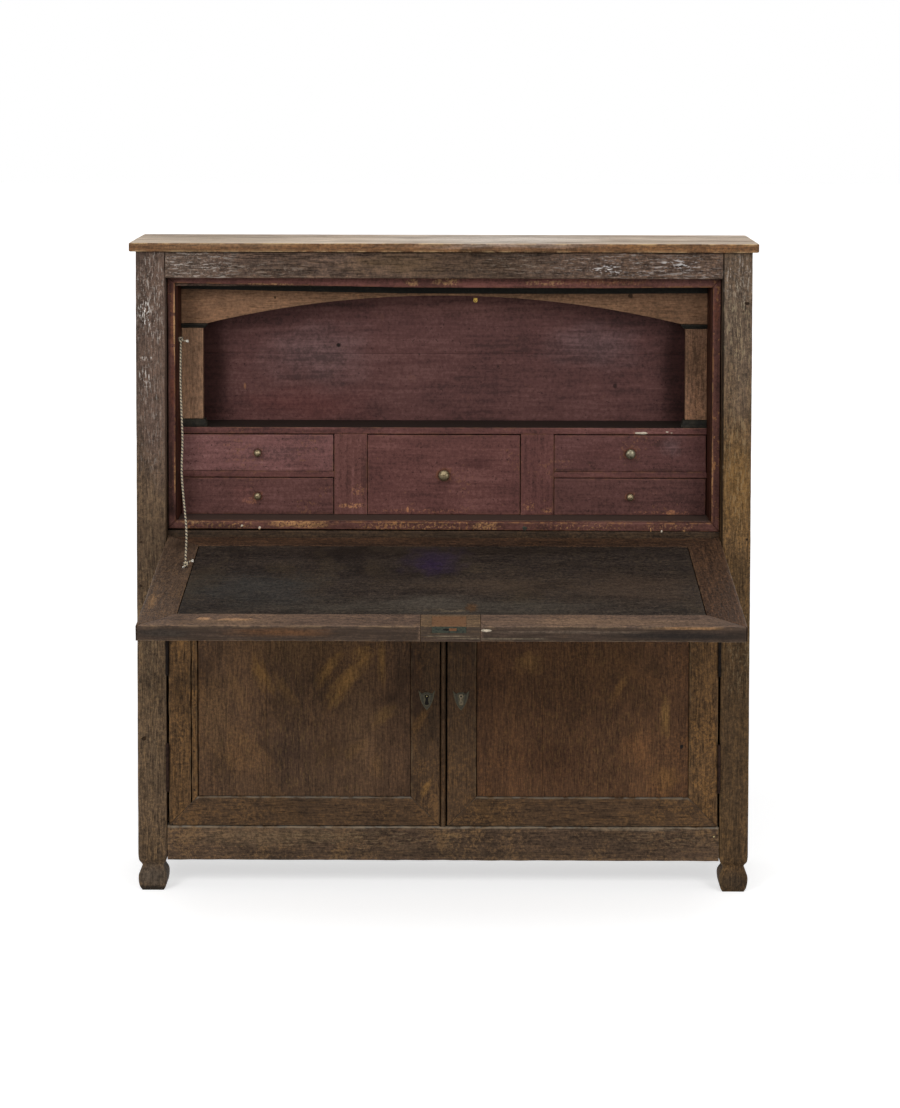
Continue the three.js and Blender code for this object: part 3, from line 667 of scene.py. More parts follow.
class Nodes(Tree):
    """The nodes of one material, with the steps that the finishes are made of."""

    def __init__(self, name: str) -> None:
        """Start an empty material with one shader.

        Args:
            name: the material's name.
        """
        self.material = bpy.data.materials.new(name)
        super().__init__(self.material)
        out = self.add("ShaderNodeOutputMaterial")
        self.shader = self.add("ShaderNodeBsdfPrincipled")
        self.tree.links.new(self.shader.outputs[0], out.inputs["Surface"])
        self.place = self.add("ShaderNodeTexCoord").outputs["Object"]

    def mapped(
        self, vector: object, scale: Triple, shift: Triple = (0, 0, 0), turn: Triple = (0, 0, 0)
    ) -> object:
        """Stretch, turn and shift a vector.

        Args:
            vector: the vector.
            scale: what each value is multiplied by.
            shift: what is added after that.
            turn: angles about the axes in radians, taken first.

        Returns:
            The new vector.
        """
        if any(turn):
            vector = self.add("ShaderNodeMapping", {"Vector": vector, "Rotation": turn}).outputs[0]
        values = {"Vector": vector, "Scale": scale, "Location": shift}
        return self.add("ShaderNodeMapping", values).outputs[0]

    def axes(self, vector: object) -> tuple[object, object, object]:
        """Take a vector's three values apart."""
        return tuple(self.add("ShaderNodeSeparateXYZ", {0: vector}).outputs)

    def noise(
        self, vector: object, scale: float | Triple, detail: float = 3, rough: float = 0.55
    ) -> object:
        """Make soft noise around one half.

        Args:
            vector: where it is read.
            scale: cells in a metre, on all axes or on each.
            detail: how many finer layers it has.
            rough: how strong those are.

        Returns:
            The noise.
        """
        scale = scale if isinstance(scale, tuple) else (scale,) * 3
        values = {"Vector": self.mapped(vector, scale), "Scale": 1.0, "Detail": detail, "Roughness": rough}
        return self.add("ShaderNodeTexNoise", values).outputs["Fac"]

    def ramp(self, factor: object, low: float, high: float) -> object:
        """Run smoothly from 0 at low to 1 at high: with t the share of the way, t^2 (3 - 2t).

        Args:
            factor: the value that runs.
            low: where the ramp is 0.
            high: where it is 1, above low or below it.

        Returns:
            The ramp.
        """
        node = self.add("ShaderNodeMapRange", {"Value": factor}, interpolation_type="SMOOTHSTEP")
        ends = (low, high, 0.0, 1.0) if low < high else (high, low, 1.0, 0.0)
        for key, value in zip(("From Min", "From Max", "To Min", "To Max"), ends):
            node.inputs[key].default_value = value
        return node.outputs[0]

    def sum(self, *terms: tuple[object, float]) -> object:
        """Add several values, each times its weight.

        Args:
            terms: pairs of a value and its weight.

        Returns:
            The sum.
        """
        total: object = 0.0
        for value, weight in terms:
            node = self.add("ShaderNodeMath", {0: value, 1: weight, 2: total}, operation="MULTIPLY_ADD")
            total = node.outputs[0]
        return total

    def length(self, vector: object) -> object:
        """Measure a vector."""
        return self.add("ShaderNodeVectorMath", {0: vector}, operation="LENGTH").outputs["Value"]

    def times(self, first: object, second: object) -> object:
        """Multiply two values."""
        return self.add("ShaderNodeMath", {0: first, 1: second}, operation="MULTIPLY").outputs[0]

    def mix(self, factor: object, first: object, second: object) -> object:
        """Blend two colours.

        Args:
            factor: the share of the second colour.
            first: a colour's code or a node's output.
            second: the same.

        Returns:
            The blend.
        """
        values = {0: factor, 6: first, 7: second}
        values = {k: linear(v) if isinstance(v, str) else v for k, v in values.items()}
        return self.add("ShaderNodeMix", values, data_type="RGBA").outputs[2]

    def attribute(self, name: str, output: str) -> object:
        """Read an attribute of the mesh."""
        return self.add("ShaderNodeAttribute", attribute_name=name).outputs[output]

    def spot(self, patch: Patch) -> object:
        """A patch around a place: 1 inside, 0 outside, with an uneven rim.

        The measure is |(p - centre) / reach| plus noise, and it fades over the soft share. Where
        the patch is fine, noise of that many cells in a metre leaves it only above its gate.

        Args:
            patch: where it lies and how it fades.

        Returns:
            The mask.
        """
        local = self.mapped(self.place, (1, 1, 1), tuple(-c for c in patch.centre))
        if patch.lean:
            local = self.mapped(local, (1, 1, 1), turn=(0, -math.radians(patch.lean), 0))
        length = self.length(self.mapped(local, tuple(1 / r for r in patch.reach)))
        cells = tuple(2.2 / max(r, 0.004) for r in patch.reach)
        measure = self.sum((length, 1.0), (self.noise(local, cells, 4), 2 * patch.uneven))
        mask = self.ramp(measure, 1 + patch.uneven, 1 + patch.uneven - patch.soft)
        if patch.fine:
            grain = self.noise(local, patch.fine, 3, 0.7)
            mask = self.times(mask, self.ramp(grain, patch.gate - 0.025, patch.gate + 0.025))
        return self.times(mask, patch.strength)

    def patched(self, colour: object, patches: Sequence[Patch], grain: object) -> object:
        """Lay patches over a colour, each darker and lighter with the grain below it.

        Args:
            colour: the colour so far.
            patches: where they lie, and their colours.
            grain: the tone of the wood or paint below.

        Returns:
            The colour with them.
        """
        for patch in patches:
            own = self.mix(grain, shade(patch.colour, 0.76), shade(patch.colour, 1.2))
            colour = self.mix(self.spot(patch), colour, own)
        return colour

    def flecked(self, colour: object, patches: Sequence[Patch], wood: object) -> object:
        """Lay short pale dashes along the fibres, dots and dark creases over a colour.

        Args:
            colour: the colour so far.
            patches: where the flecks lie, and their colours.
            wood: the place along and across the fibres.

        Returns:
            The colour with them.
        """
        if not patches:
            return colour
        dash = self.noise(wood, DASH, 2, 0.7)
        dot = self.ramp(self.noise(self.place, 260, 2, 0.6), 0.6, 0.66)
        pale = self.sum((self.ramp(dash, 0.56, 0.63), 1.0), (dot, 0.5))
        crease = self.ramp(dash, 0.46, 0.41)
        for patch in patches:
            where = self.spot(patch)
            colour = self.mix(self.times(self.times(where, crease), 0.55), colour, CREASE)
            colour = self.mix(self.times(where, pale), colour, patch.colour)
        return colour

    def bump(self, height: object, strength: float, distance: float) -> None:
        """Give the surface small relief from a height."""
        node = self.add("ShaderNodeBump", {"Height": height, "Strength": strength, "Distance": distance})
        self.tree.links.new(node.outputs[0], self.shader.inputs["Normal"])

    def wire(self, socket: str, value: object) -> None:
        """Join a value to the shader, or set it on the shader's own socket.

        Args:
            socket: the shader's input.
            value: a node's output, or a plain value.
        """
        if isinstance(value, bpy.types.NodeSocket):
            self.tree.links.new(value, self.shader.inputs[socket])
        else:
            self.shader.inputs[socket].default_value = value


@dataclass(frozen=True)
class Finish:
    """What every finish has: its own name, the record's slot, and a material that is made once."""

    name: str
    slot: str

    def material(self) -> bpy.types.Material:
        """Build the finish once, and give the same one again.

        Returns:
            The material.
        """
        found = bpy.data.materials.get(self.name)
        if found:
            return found
        n = Nodes(self.name)
        self.lay(n)
        return n.material

    def lay(self, n: Nodes) -> None:
        """Wire the finish's own nodes."""
        raise NotImplementedError


@dataclass(frozen=True)
class Wood(Finish):
    """Bare or waxed old wood.

    One tone swings darker and lighter with noise stretched along the fibres (broad bands,
    streaks, fine fibres) and with grit that is the same every way. Dark blotches, golden
    mottles, slanting figure, grooves, pores, worn arrises, dust on what faces up, named patches
    and patches of pale flecks lie over it.
    """

    tone: str
    swing: float = 0.34
    stain: str = "17110d"
    worn: str = "8a7358"
    blotch: float = 0.4
    warm: float = 0.4
    edge_wear: float = 0.5
    figure: float = 0.0
    grooves: float = 0.18
    bleach: str = ""
    # front: a darker tone on faces that look forward, painted shade
    front: str = ""
    dust: float = 0.0
    rough: float = 0.6
    shine: float = 0.07
    relief: float = 0.5
    patches: tuple[Patch, ...] = ()
    flecks: tuple[Patch, ...] = ()

    def lay(self, n: Nodes) -> None:
        """Wire the wood's layers, from the grain's tone to its relief.

        Args:
            n: the material's nodes.
        """
        wood = n.attribute("wood", "Vector")
        broad = n.noise(wood, BROAD)
        streak = n.noise(wood, STREAK, 5, 0.7)
        fibre = n.noise(wood, FIBRE, 3, 0.7)
        grit = n.noise(n.place, 170, 4, 0.8)
        tone = n.sum((broad, 0.14), (streak, 0.2), (fibre, 0.26), (grit, 0.4))
        colour = n.mix(n.ramp(tone, 0.42, 0.5), shade(self.tone, 1 - self.swing), self.tone)
        light = gilded(self.tone, 1 + 0.9 * self.swing, 0.3 * self.warm)
        colour = n.mix(n.ramp(tone, 0.5, 0.58), colour, light)
        colour = self.clouds(n, colour, streak, grit)
        groove = n.ramp(n.noise(wood, GROOVE, 4, 0.7), 0.54, 0.62)
        colour = n.mix(n.times(groove, self.grooves), colour, self.stain)
        pores = n.noise(wood, PORE, 2, 0.4)
        colour = n.mix(n.times(n.ramp(pores, 0.58, 0.68), 0.5), colour, self.stain)
        colour = self.lying(n, colour, broad, streak)
        rub = n.noise(n.place, 34, 5, 0.75)
        rubbed = n.times(n.attribute("edge", "Fac"), n.times(n.ramp(rub, 0.42, 0.6), self.edge_wear))
        colour = n.mix(rubbed, colour, self.worn)
        colour = n.patched(colour, self.patches, n.ramp(tone, 0.42, 0.58))
        colour = n.flecked(colour, self.flecks, wood)
        n.wire("Base Color", colour)
        n.wire("Roughness", n.sum((streak, 0.3), (1.0, self.rough - 0.15)))
        n.wire("Specular IOR Level", self.shine)
        height = n.sum((streak, 0.8), (fibre, 0.8), (groove, -0.6), (grit, 0.35))
        n.bump(height, self.relief, 0.0013)

    def clouds(self, n: Nodes, colour: object, streak: object, grit: object) -> object:
        """Lay dark blotches, golden mottles and slanting figure over the grain.

        Args:
            n: the material's nodes.
            colour: the colour so far.
            streak: the streaks.
            grit: the fine noise that breaks the figure up.

        Returns:
            The colour with them.
        """
        dark = n.ramp(n.noise(n.place, 9, 6, 0.7), 0.48, 0.66)
        colour = n.mix(n.times(dark, self.blotch), colour, shade(self.tone, 0.5))
        mottle = n.sum((n.noise(n.place, (24, 24, 14), 5, 0.7), 0.4), (streak, 0.2), (grit, 0.4))
        lot = n.ramp(n.noise(n.place, 3.6, 2), 0.4, 0.58)
        gold = n.mix(n.ramp(grit, 0.4, 0.6), gilded(self.tone, 1.12, 0.2), gilded(self.tone, 1.5, 0.3))
        colour = n.mix(n.times(n.times(n.ramp(mottle, 0.49, 0.58), lot), self.warm), colour, gold)
        if self.figure:
            slant = n.mapped(n.place, (5, 5, 19), turn=(0, math.radians(-42), 0))
            values = {"Vector": slant, "Scale": 1.0, "Detail": 5.0}
            flame = n.add("ShaderNodeTexNoise", values).outputs["Fac"]
            broken = n.sum((flame, 0.7), (streak, 0.15), (grit, 0.15))
            area = n.ramp(n.noise(n.place, 4.5, 2), 0.44, 0.6)
            colour = n.mix(n.times(n.times(n.ramp(broken, 0.5, 0.6), area), self.figure), colour, gold)
        return colour

    def lying(self, n: Nodes, colour: object, broad: object, streak: object) -> object:
        """Change what faces up or forward, by the way the surface lay when it was built; the front tone
        darkens forward faces as painted shade.

        Args:
            n: the material's nodes.
            colour: the colour so far.
            broad: the broad bands.
            streak: the streaks.

        Returns:
            The colour with bleach, dust and the front tone's painted shade.
        """
        if not (self.bleach or self.front or self.dust):
            return colour
        _, forward, up = n.axes(n.attribute("lie", "Vector"))
        if self.bleach:
            level = n.ramp(up, 0.55, 0.95)
            drift = n.sum((n.ramp(broad, 0.32, 0.6), 0.3), (n.ramp(streak, 0.35, 0.6), 0.62))
            colour = n.mix(n.times(level, drift), colour, self.bleach)
        # Painted shade: faces that look forward take the darker front tone
        if self.front:
            deep = n.times(n.ramp(forward, -0.6, -0.9), n.sum((n.ramp(streak, 0.4, 0.6), 0.3), (1.0, 0.65)))
            colour = n.mix(deep, colour, self.front)
        if self.dust:
            settled = n.times(n.ramp(up, 0.15, 0.6), n.ramp(n.noise(n.place, 60, 3), 0.3, 0.6))
            colour = n.mix(n.times(settled, self.dust), colour, DUST)
        return colour


@dataclass(frozen=True)
class Paint(Finish):
    """Old paint on wood: cloudy colour, brush streaks, rubbed arrises and chips down to the wood."""

    tone: str
    swing: float = 0.3
    bare: str = "8d6246"
    top: str = ""
    raw: str = ""
    chips: float = 0.3
    edge_wear: float = 0.6
    rough: float = 0.55
    shine: float = 0.1
    patches: tuple[Patch, ...] = ()

    def lay(self, n: Nodes) -> None:
        """Wire the paint, its wear and what shows through it.

        Args:
            n: the material's nodes.
        """
        wood = n.attribute("wood", "Vector")
        cloud = n.noise(n.place, (7, 7, 11), 4, 0.6)
        brush = n.noise(wood, BRUSH, 5, 0.7)
        speck = n.noise(n.place, 140, 5, 0.8)
        tone = n.sum((cloud, 0.24), (brush, 0.34), (speck, 0.42))
        colour = n.mix(n.ramp(tone, 0.42, 0.5), shade(self.tone, 1 - self.swing), self.tone)
        colour = n.mix(n.ramp(tone, 0.5, 0.6), colour, shade(self.tone, 1 + self.swing, 0.12))
        pits = n.ramp(n.noise(n.place, 170, 2), 0.66, 0.72)
        colour = n.mix(n.times(pits, 0.7), colour, shade(self.tone, 0.45))
        knock = n.noise(n.place, 120, 4, 0.7)
        lot = n.ramp(n.noise(n.place, 11, 3), 0.48, 0.7)
        chip = n.times(n.ramp(n.sum((knock, 1.0), (lot, 0.12)), 0.66, 0.7), self.chips)
        colour = n.mix(chip, colour, self.bare)
        rub = n.noise(n.place, 55, 5, 0.7)
        rubbed = n.times(n.attribute("edge", "Fac"), n.times(n.ramp(rub, 0.42, 0.6), self.edge_wear))
        colour = n.mix(rubbed, colour, self.bare)
        colour = n.patched(colour, self.patches, n.ramp(tone, 0.42, 0.58))
        if self.top or self.raw:
            _, rear, up = n.axes(n.attribute("lie", "Vector"))
            if self.top:
                colour = n.mix(n.ramp(up, 0.6, 0.9), colour, self.top)
            if self.raw:
                combed = n.ramp(n.noise(wood, COMB, 4), 0.4, 0.6)
                fibre = n.mix(combed, shade(self.raw, 0.75), shade(self.raw, 1.2))
                colour = n.mix(n.ramp(rear, 0.6, 0.9), colour, fibre)
        n.wire("Base Color", colour)
        n.wire("Roughness", n.sum((cloud, 0.25), (speck, 0.12), (1.0, self.rough - 0.18)))
        n.wire("Specular IOR Level", self.shine)
        n.bump(n.sum((brush, 0.8), (speck, 0.3), (chip, -0.5)), 0.4, 0.0007)


@dataclass(frozen=True)
class Metal(Finish):
    """Old metal: a polished tone where hands or keys rub it, and tarnish or rust elsewhere."""

    clean: str
    tarnish: str
    share: float = 0.5
    metallic: float = 1.0
    rough: float = 0.35
    scale: float = 260.0
    shine: float = 0.15

    def lay(self, n: Nodes) -> None:
        """Wire the metal under its tarnish.

        Args:
            n: the material's nodes.
        """
        cloud = n.noise(n.place, self.scale, 4, 0.65)
        grime = n.ramp(cloud, 0.62 - 0.3 * self.share, 0.8 - 0.3 * self.share)
        colour = n.mix(grime, self.clean, self.tarnish)
        rubbed = n.times(n.attribute("edge", "Fac"), 0.6)
        n.wire("Base Color", n.mix(rubbed, colour, gilded(self.clean, 1.7, 0.3)))
        n.wire("Metallic", self.metallic)
        n.wire("Specular IOR Level", self.shine)
        n.wire("Roughness", n.sum((grime, 0.25), (1.0, self.rough)))
        n.bump(cloud, 0.3, 0.0003)


@dataclass(frozen=True)
class Fibre(Finish):
    """Twisted cord: pale and dark strands follow the mesh's own strand attribute."""

    name: str = "hemp_cord"
    slot: str = "rope_fibre"
    pale: str = "aa9c82"
    dark: str = "1a1e2c"
    frayed: str = "d4d0c6"

    def lay(self, n: Nodes) -> None:
        """Wire the strands.

        Args:
            n: the material's nodes.
        """
        strand = n.attribute("edge", "Fac")
        hair = n.noise(n.place, 700, 2)
        tone = n.sum((strand, 1.0), (hair, 0.4))
        laid = n.mix(n.ramp(tone, 0.35, 0.75), self.dark, self.pale)
        n.wire("Base Color", n.mix(n.ramp(strand, 1.1, 1.4), laid, self.frayed))
        n.wire("Roughness", 0.9)
        n.bump(hair, 0.5, 0.0004)


def build(
    name: str,
    skin: Skin,
    finish: Finish,
    body: str,
    stands_for: Sequence[str] = (),
    crease: float = 42.0,
) -> bpy.types.Object:
    """Put a surface into a mesh object, dress it and set it on its body.

    Args:
        name: the piece's name.
        skin: its surface and attributes.
        finish: its material.
        body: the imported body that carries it.
        stands_for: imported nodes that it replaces.
        crease: angle in degrees above which an edge is shaded sharp.

    Returns:
        The object.
    """
    mesh = bpy.data.meshes.new(name)
    mesh.from_pydata(skin.points, [], skin.faces)
    edge = mesh.attributes.new("edge", "FLOAT", "POINT")
    edge.data.foreach_set("value", skin.edge.astype(np.float32))
    wood = mesh.attributes.new("wood", "FLOAT_VECTOR", "POINT")
    wood.data.foreach_set("vector", skin.wood.astype(np.float32).ravel())
    mesh.polygons.foreach_set("use_smooth", np.ones(len(mesh.polygons), bool))
    mesh.set_sharp_from_angle(angle=math.radians(crease))
    mesh.update()
    normals = np.empty(3 * len(mesh.vertices), np.float32)
    mesh.vertex_normals.foreach_get("vector", normals)
    lie = mesh.attributes.new("lie", "FLOAT_VECTOR", "POINT")
    lie.data.foreach_set("vector", normals)
    piece = bpy.data.objects.new(name, mesh)
    bpy.context.scene.collection.objects.link(piece)
    piece.data.materials.append(finish.material())
    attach(piece, body)
    if stands_for:
        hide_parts(*stands_for)
    log.info("%s: %d faces on %s", name, len(skin.faces), body)
    return piece


def rebuild(node: str, piece: str, grain: Grain, finish: Finish, arris: float, seed: str = "") -> None:
    """Replace a packed board of the carcass with a worn one of the same size.

    Args:
        node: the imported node.
        piece: the new piece's name.
        grain: which way the fibres run.
        finish: its material.
        arris: the radius of its arrises.
        seed: what the wear is drawn from, where it isn't the node's name.
    """
    build(piece, board(seed or node, *node_span(node), grain, arris), finish, "carcass", [node])


def dress(node: str, finish: Finish) -> None:
    """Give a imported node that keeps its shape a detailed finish.

    Args:
        node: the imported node.
        finish: its material.
    """
    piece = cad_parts[node]
    piece.data.materials.clear()
    piece.data.materials.append(finish.material())
    log.info("%s: kept, %s", node, finish.name)


# Finishes
CHALK, TAN_SPECK = "b3aaa1", "947f60"
POST_TOP_GREY = "584840"
POST_LEFT = Wood(
    "post_left_oak", "aged_oak", "5e4c3b", 0.36, worn="85715c", edge_wear=0.4, relief=0.8, grooves=0.3,
    warm=0.25,
    patches=on_face(POST_FACE, 0.4, (-0.6, 1.2, 0.1, 0.46, POST_TOP_GREY, 0.8, 0.5))
    + on_face(POST_FACE, 0.1, (-0.588, 1.024, 0.01, 0.009, "3a2f27", 0.75, 0.6, 0.6))
    + on_face(POST_FACE, 0.4, (-0.6, 0.72, 0.1, 0.12, "43352a", 0.7, 0.8))
    + on_face(
        POST_FACE, 0.1,
        (-0.6, 0.028, 0.06, 0.04, "544a40", 0.8, 0.8),
        (-0.6, 0.0, 0.06, 0.014, "27221d", 0.85, 0.6),
    ),
    flecks=on_face(
        POST_FACE, 0.1,
        (-0.6, 1.225, 0.045, 0.13, CHALK, 0.55, 0.6, 0.7),
        (-0.612, 1.206, 0.016, 0.02, "dcd6cf", 1.0, 0.5, 0.5),
        (-0.603, 1.18, 0.018, 0.008, "dcd6cf", 1.0, 0.5, 0.5),
        (-0.612, 1.105, 0.022, 0.007, "cfc8c0", 0.9, 0.5, 0.6),
        (-0.611, 1.066, 0.016, 0.03, "cfc8c0", 0.6, 0.6, 0.7),
        (-0.6, 1.0, 0.04, 0.2, CHALK, 0.25, 0.7, 0.7),
        (-0.6, 0.5, 0.05, 0.45, TAN_SPECK, 0.25, 0.7, 0.5),
    ),
)
POST_RIGHT = Wood(
    "post_right_oak", "aged_oak", "5e4831", 0.38, worn="8a7250", edge_wear=0.4, relief=0.8, warm=0.4,
    grooves=0.3,
    patches=on_face(POST_FACE, 0.4, (0.6, 1.2, 0.1, 0.36, "5f5247", 0.7, 0.7))
    + on_face(
        POST_FACE, 0.2,
        (0.6, 0.3, 0.06, 0.42, "463729", 0.65, 0.8),
        (0.6, 0.66, 0.06, 0.07, "4a3a28", 0.4, 0.8),
        (0.6, 0.85, 0.06, 0.16, "705432", 0.75, 0.9),
    )
    + on_face(POST_FACE, 0.1, (0.6, 0.02, 0.06, 0.03, "38312a", 0.6, 0.8))
    # Painted shade: a dark line on the post's inner arris for the gap beside the right strip
    + on_face(DOOR_FACE, 0.03, (0.5712, 1.0, 0.0026, 0.42, "15100d", 0.85, 0.3, 0.2)),
    flecks=on_face(
        POST_FACE, 0.1,
        (0.6, 1.27, 0.045, 0.06, CHALK, 0.5, 0.6, 0.7),
        (0.6, 1.18, 0.045, 0.12, "a39478", 0.4, 0.6, 0.7),
        (0.6, 0.95, 0.045, 0.3, TAN_SPECK, 0.4, 0.6, 0.6),
        (0.61, 0.5, 0.04, 0.14, TAN_SPECK, 0.45, 0.6, 0.6),
    ),
)
OAK_FRONT = Wood("middle_rail_oak", "aged_oak", "3c2f25", 0.35, worn="54463a", edge_wear=0.3)
OAK_RAIL = Wood(
    "top_rail_oak", "aged_oak", "58473d", 0.38, worn="84705c", edge_wear=0.35, relief=1.0, grooves=0.4,
    warm=0.2,
    patches=on_face(
        POST_FACE, 0.6,
        (0.04, 1.3, 0.28, 0.06, "46372b", 0.75, 0.9),
        (-0.1, 1.3, 0.14, 0.03, "5d4a35", 0.5, 0.9, 0.9),
        (-0.52, 1.3, 0.09, 0.06, "6a5b50", 0.5, 0.8),
    ),
    flecks=on_face(
        POST_FACE, 0.1,
        (-0.51, 1.3, 0.12, 0.045, CHALK, 0.6, 0.6, 0.6),
        (-0.36, 1.285, 0.14, 0.03, "9a8d80", 0.35, 0.7, 0.8),
        (0.41, 1.297, 0.23, 0.042, "b0a7a0", 0.5, 0.6, 0.6),
        (0.335, 1.29, 0.04, 0.014, "dcd8d6", 0.7, 0.5, 0.5),
        (0.48, 1.3, 0.05, 0.012, "dcd8d6", 0.6, 0.5, 0.5),
        (0.16, 1.3, 0.12, 0.03, "8d8073", 0.4, 0.7, 0.8),
    ),
)
OAK_SILL = Wood(
    "bottom_rail_oak", "aged_oak", "5c493a", 0.32, worn="97846d", edge_wear=0.8, warm=0.6, dust=0.8,
    relief=0.6, grooves=0.12,
    patches=on_face(
        POST_FACE, 0.1,
        (-0.4, 0.115, 0.18, 0.03, "77614a", 0.55, 0.9, 0.7),
        (-0.25, 0.115, 0.16, 0.018, "7b654a", 0.3, 0.9, 0.7),
        (0.02, 0.118, 0.03, 0.006, "94764f", 0.4, 0.9, 0.8),
        (0.34, 0.1, 0.3, 0.04, "40332a", 0.4, 0.9, 0.6),
        (0.4, 0.132, 0.12, 0.005, "85745f", 0.6, 0.7, 0.8),
        (0.0, 0.08, 0.6, 0.01, "3b3126", 0.5, 0.9, 0.5),
    ),
    flecks=on_face(
        POST_FACE, 0.1,
        (-0.2, 0.11, 0.35, 0.03, TAN_SPECK, 0.35, 0.7),
        (0.45, 0.11, 0.15, 0.03, TAN_SPECK, 0.3, 0.7),
    ),
)
OAK_SIDE = Wood("side_oak", "aged_oak", "4f3e2e", 0.35, worn="7a6650")
OAK_TOP = Wood(
    "top_board_oak", "top_oak", "6c4e36", 0.24, worn="c4a57a", bleach="efddc8", edge_wear=0.9, warm=0.3,
    grooves=0.3,
    patches=on_face(TOP_MIDDLE, 0.2, (-0.47, 1.344, 0.26, 0.02, "8d7c68", 0.5, 0.9))
    + on_face(TOP_EDGE, 0.02, (-0.5, 1.334, 0.16, 0.02, "604630", 0.2, 0.9, 0.6))
    + on_face(TOP_MIDDLE, 0.2, (0.12, 1.344, 0.34, 0.02, "f6e8d6", 0.35, 0.9)),
)
OAK_DOOR = Wood(
    "door_frame_oak", "door_oak", "54402f", 0.28, worn="76624a", edge_wear=0.7, blotch=0.5, warm=0.6,
    dust=0.7, figure=0.35,
    patches=on_face(
        DOOR_FACE, 0.02,
        (-0.034, 0.218, 0.01, 0.026, "8f6b3e", 0.6, 0.8, 0.6, 0, 0.5, 30),
        (-0.046, 0.36, 0.012, 0.05, "7d5c36", 0.5, 0.8, 0.6, 0, 0.5, 30),
        (-0.056, 0.44, 0.03, 0.16, "402a20", 0.35, 0.9),
        (0.052, 0.46, 0.02, 0.12, "3a281e", 0.35, 0.9),
    ),
)
OAK_STILE = Wood(
    "door_outer_stile_oak", "door_oak", "634a32", 0.34, worn="7d684e", edge_wear=0.6, blotch=0.35, warm=0.5,
    grooves=0.3,
)
PANEL_GOLD, PANEL_DUSK = "96703f", "3d2e26"
PANEL_LEFT = Wood(
    "door_left_panel_oak", "door_oak", "574131", 0.3, worn="6a553d", blotch=0.5, edge_wear=0.3,
    figure=0.35, warm=0.35, relief=0.4, grooves=0.12,
    patches=on_face(
        PANEL_FACE, 0.009,
        # Painted light: lighter at the top, against the flap's shadow; the next patch makes it darker
        # towards the bottom
        (-0.31, 0.52, 0.2, 0.08, "694f36", 0.6, 0.9),
        (-0.32, 0.225, 0.25, 0.05, "47362a", 0.5, 0.9),
        (-0.47, 0.36, 0.05, 0.14, "6b5138", 0.45, 0.9, 0.6),
        (-0.2, 0.436, 0.024, 0.085, PANEL_GOLD, 0.6, 0.9, 0.8, 0, 0.5, 38),
        (-0.238, 0.462, 0.016, 0.06, PANEL_GOLD, 0.5, 0.9, 0.8, 0, 0.5, 34),
        (-0.165, 0.492, 0.03, 0.03, PANEL_GOLD, 0.45, 0.9, 0.8, 0, 0.5, 30),
        (-0.1265, 0.48, 0.012, 0.07, PANEL_GOLD, 0.5, 0.9, 0.7),
        (-0.126, 0.365, 0.022, 0.05, "7d5f3a", 0.55, 0.9, 0.8, 0, 0.5, 52),
        (-0.18, 0.297, 0.018, 0.04, "7a5b38", 0.5, 0.9, 0.8, 0, 0.5, 50),
        (-0.136, 0.261, 0.02, 0.034, "745636", 0.45, 0.9, 0.8),
        (-0.372, 0.45, 0.022, 0.06, "876438", 0.5, 0.9, 0.8, 0, 0.5, -24),
        (-0.325, 0.42, 0.016, 0.06, "7d5d38", 0.4, 0.9, 0.8, 0, 0.5, -35),
        (-0.425, 0.42, 0.018, 0.07, "7a5b3c", 0.4, 0.9, 0.8, 0, 0.5, -20),
        (-0.165, 0.34, 0.06, 0.18, "6a523c", 0.4, 0.9),
        (-0.313, 0.29, 0.07, 0.08, PANEL_DUSK, 0.55, 0.9, 0.6),
    ),
    flecks=on_face(PANEL_FACE, 0.009, (-0.31, 0.35, 0.25, 0.22, "8f7146", 0.22, 0.6, 0.6)),
)
PANEL_RIGHT = replace(
    PANEL_LEFT, name="door_right_panel_oak", tone="583e2c", figure=0.25,
    patches=on_face(
        PANEL_FACE, 0.009,
        # Painted light: lighter at the top, against the flap's shadow
        (0.31, 0.48, 0.22, 0.1, "61462f", 0.45, 0.9),
        (0.458, 0.365, 0.014, 0.06, "8a693e", 0.6, 0.9, 0.7),
        (0.46, 0.235, 0.04, 0.04, "7d5934", 0.5, 0.9, 0.8, 0, 0.5, 40),
        (0.36, 0.42, 0.012, 0.05, "7d5a36", 0.55, 0.8, 0.7, 0, 0.5, 30),
        (0.178, 0.477, 0.04, 0.034, "87653e", 0.55, 0.9, 0.8),
        (0.4, 0.3, 0.05, 0.05, "7d5636", 0.45, 0.9, 0.9),
        (0.22, 0.27, 0.13, 0.08, "41291c", 0.4, 0.9, 0.5),
    ),
    flecks=on_face(PANEL_FACE, 0.009, (0.31, 0.35, 0.25, 0.22, "8f6f42", 0.22, 0.6, 0.6)),
)
# The flap's front tone is painted shade on the free edge's forward face
OAK_FLAP = Wood(
    "flap_frame_oak", "flap_oak", "614f44", 0.28, worn="957a5c", front="342a23", edge_wear=0.35, rough=0.52,
    blotch=0.3, relief=0.4, warm=0.3,
)
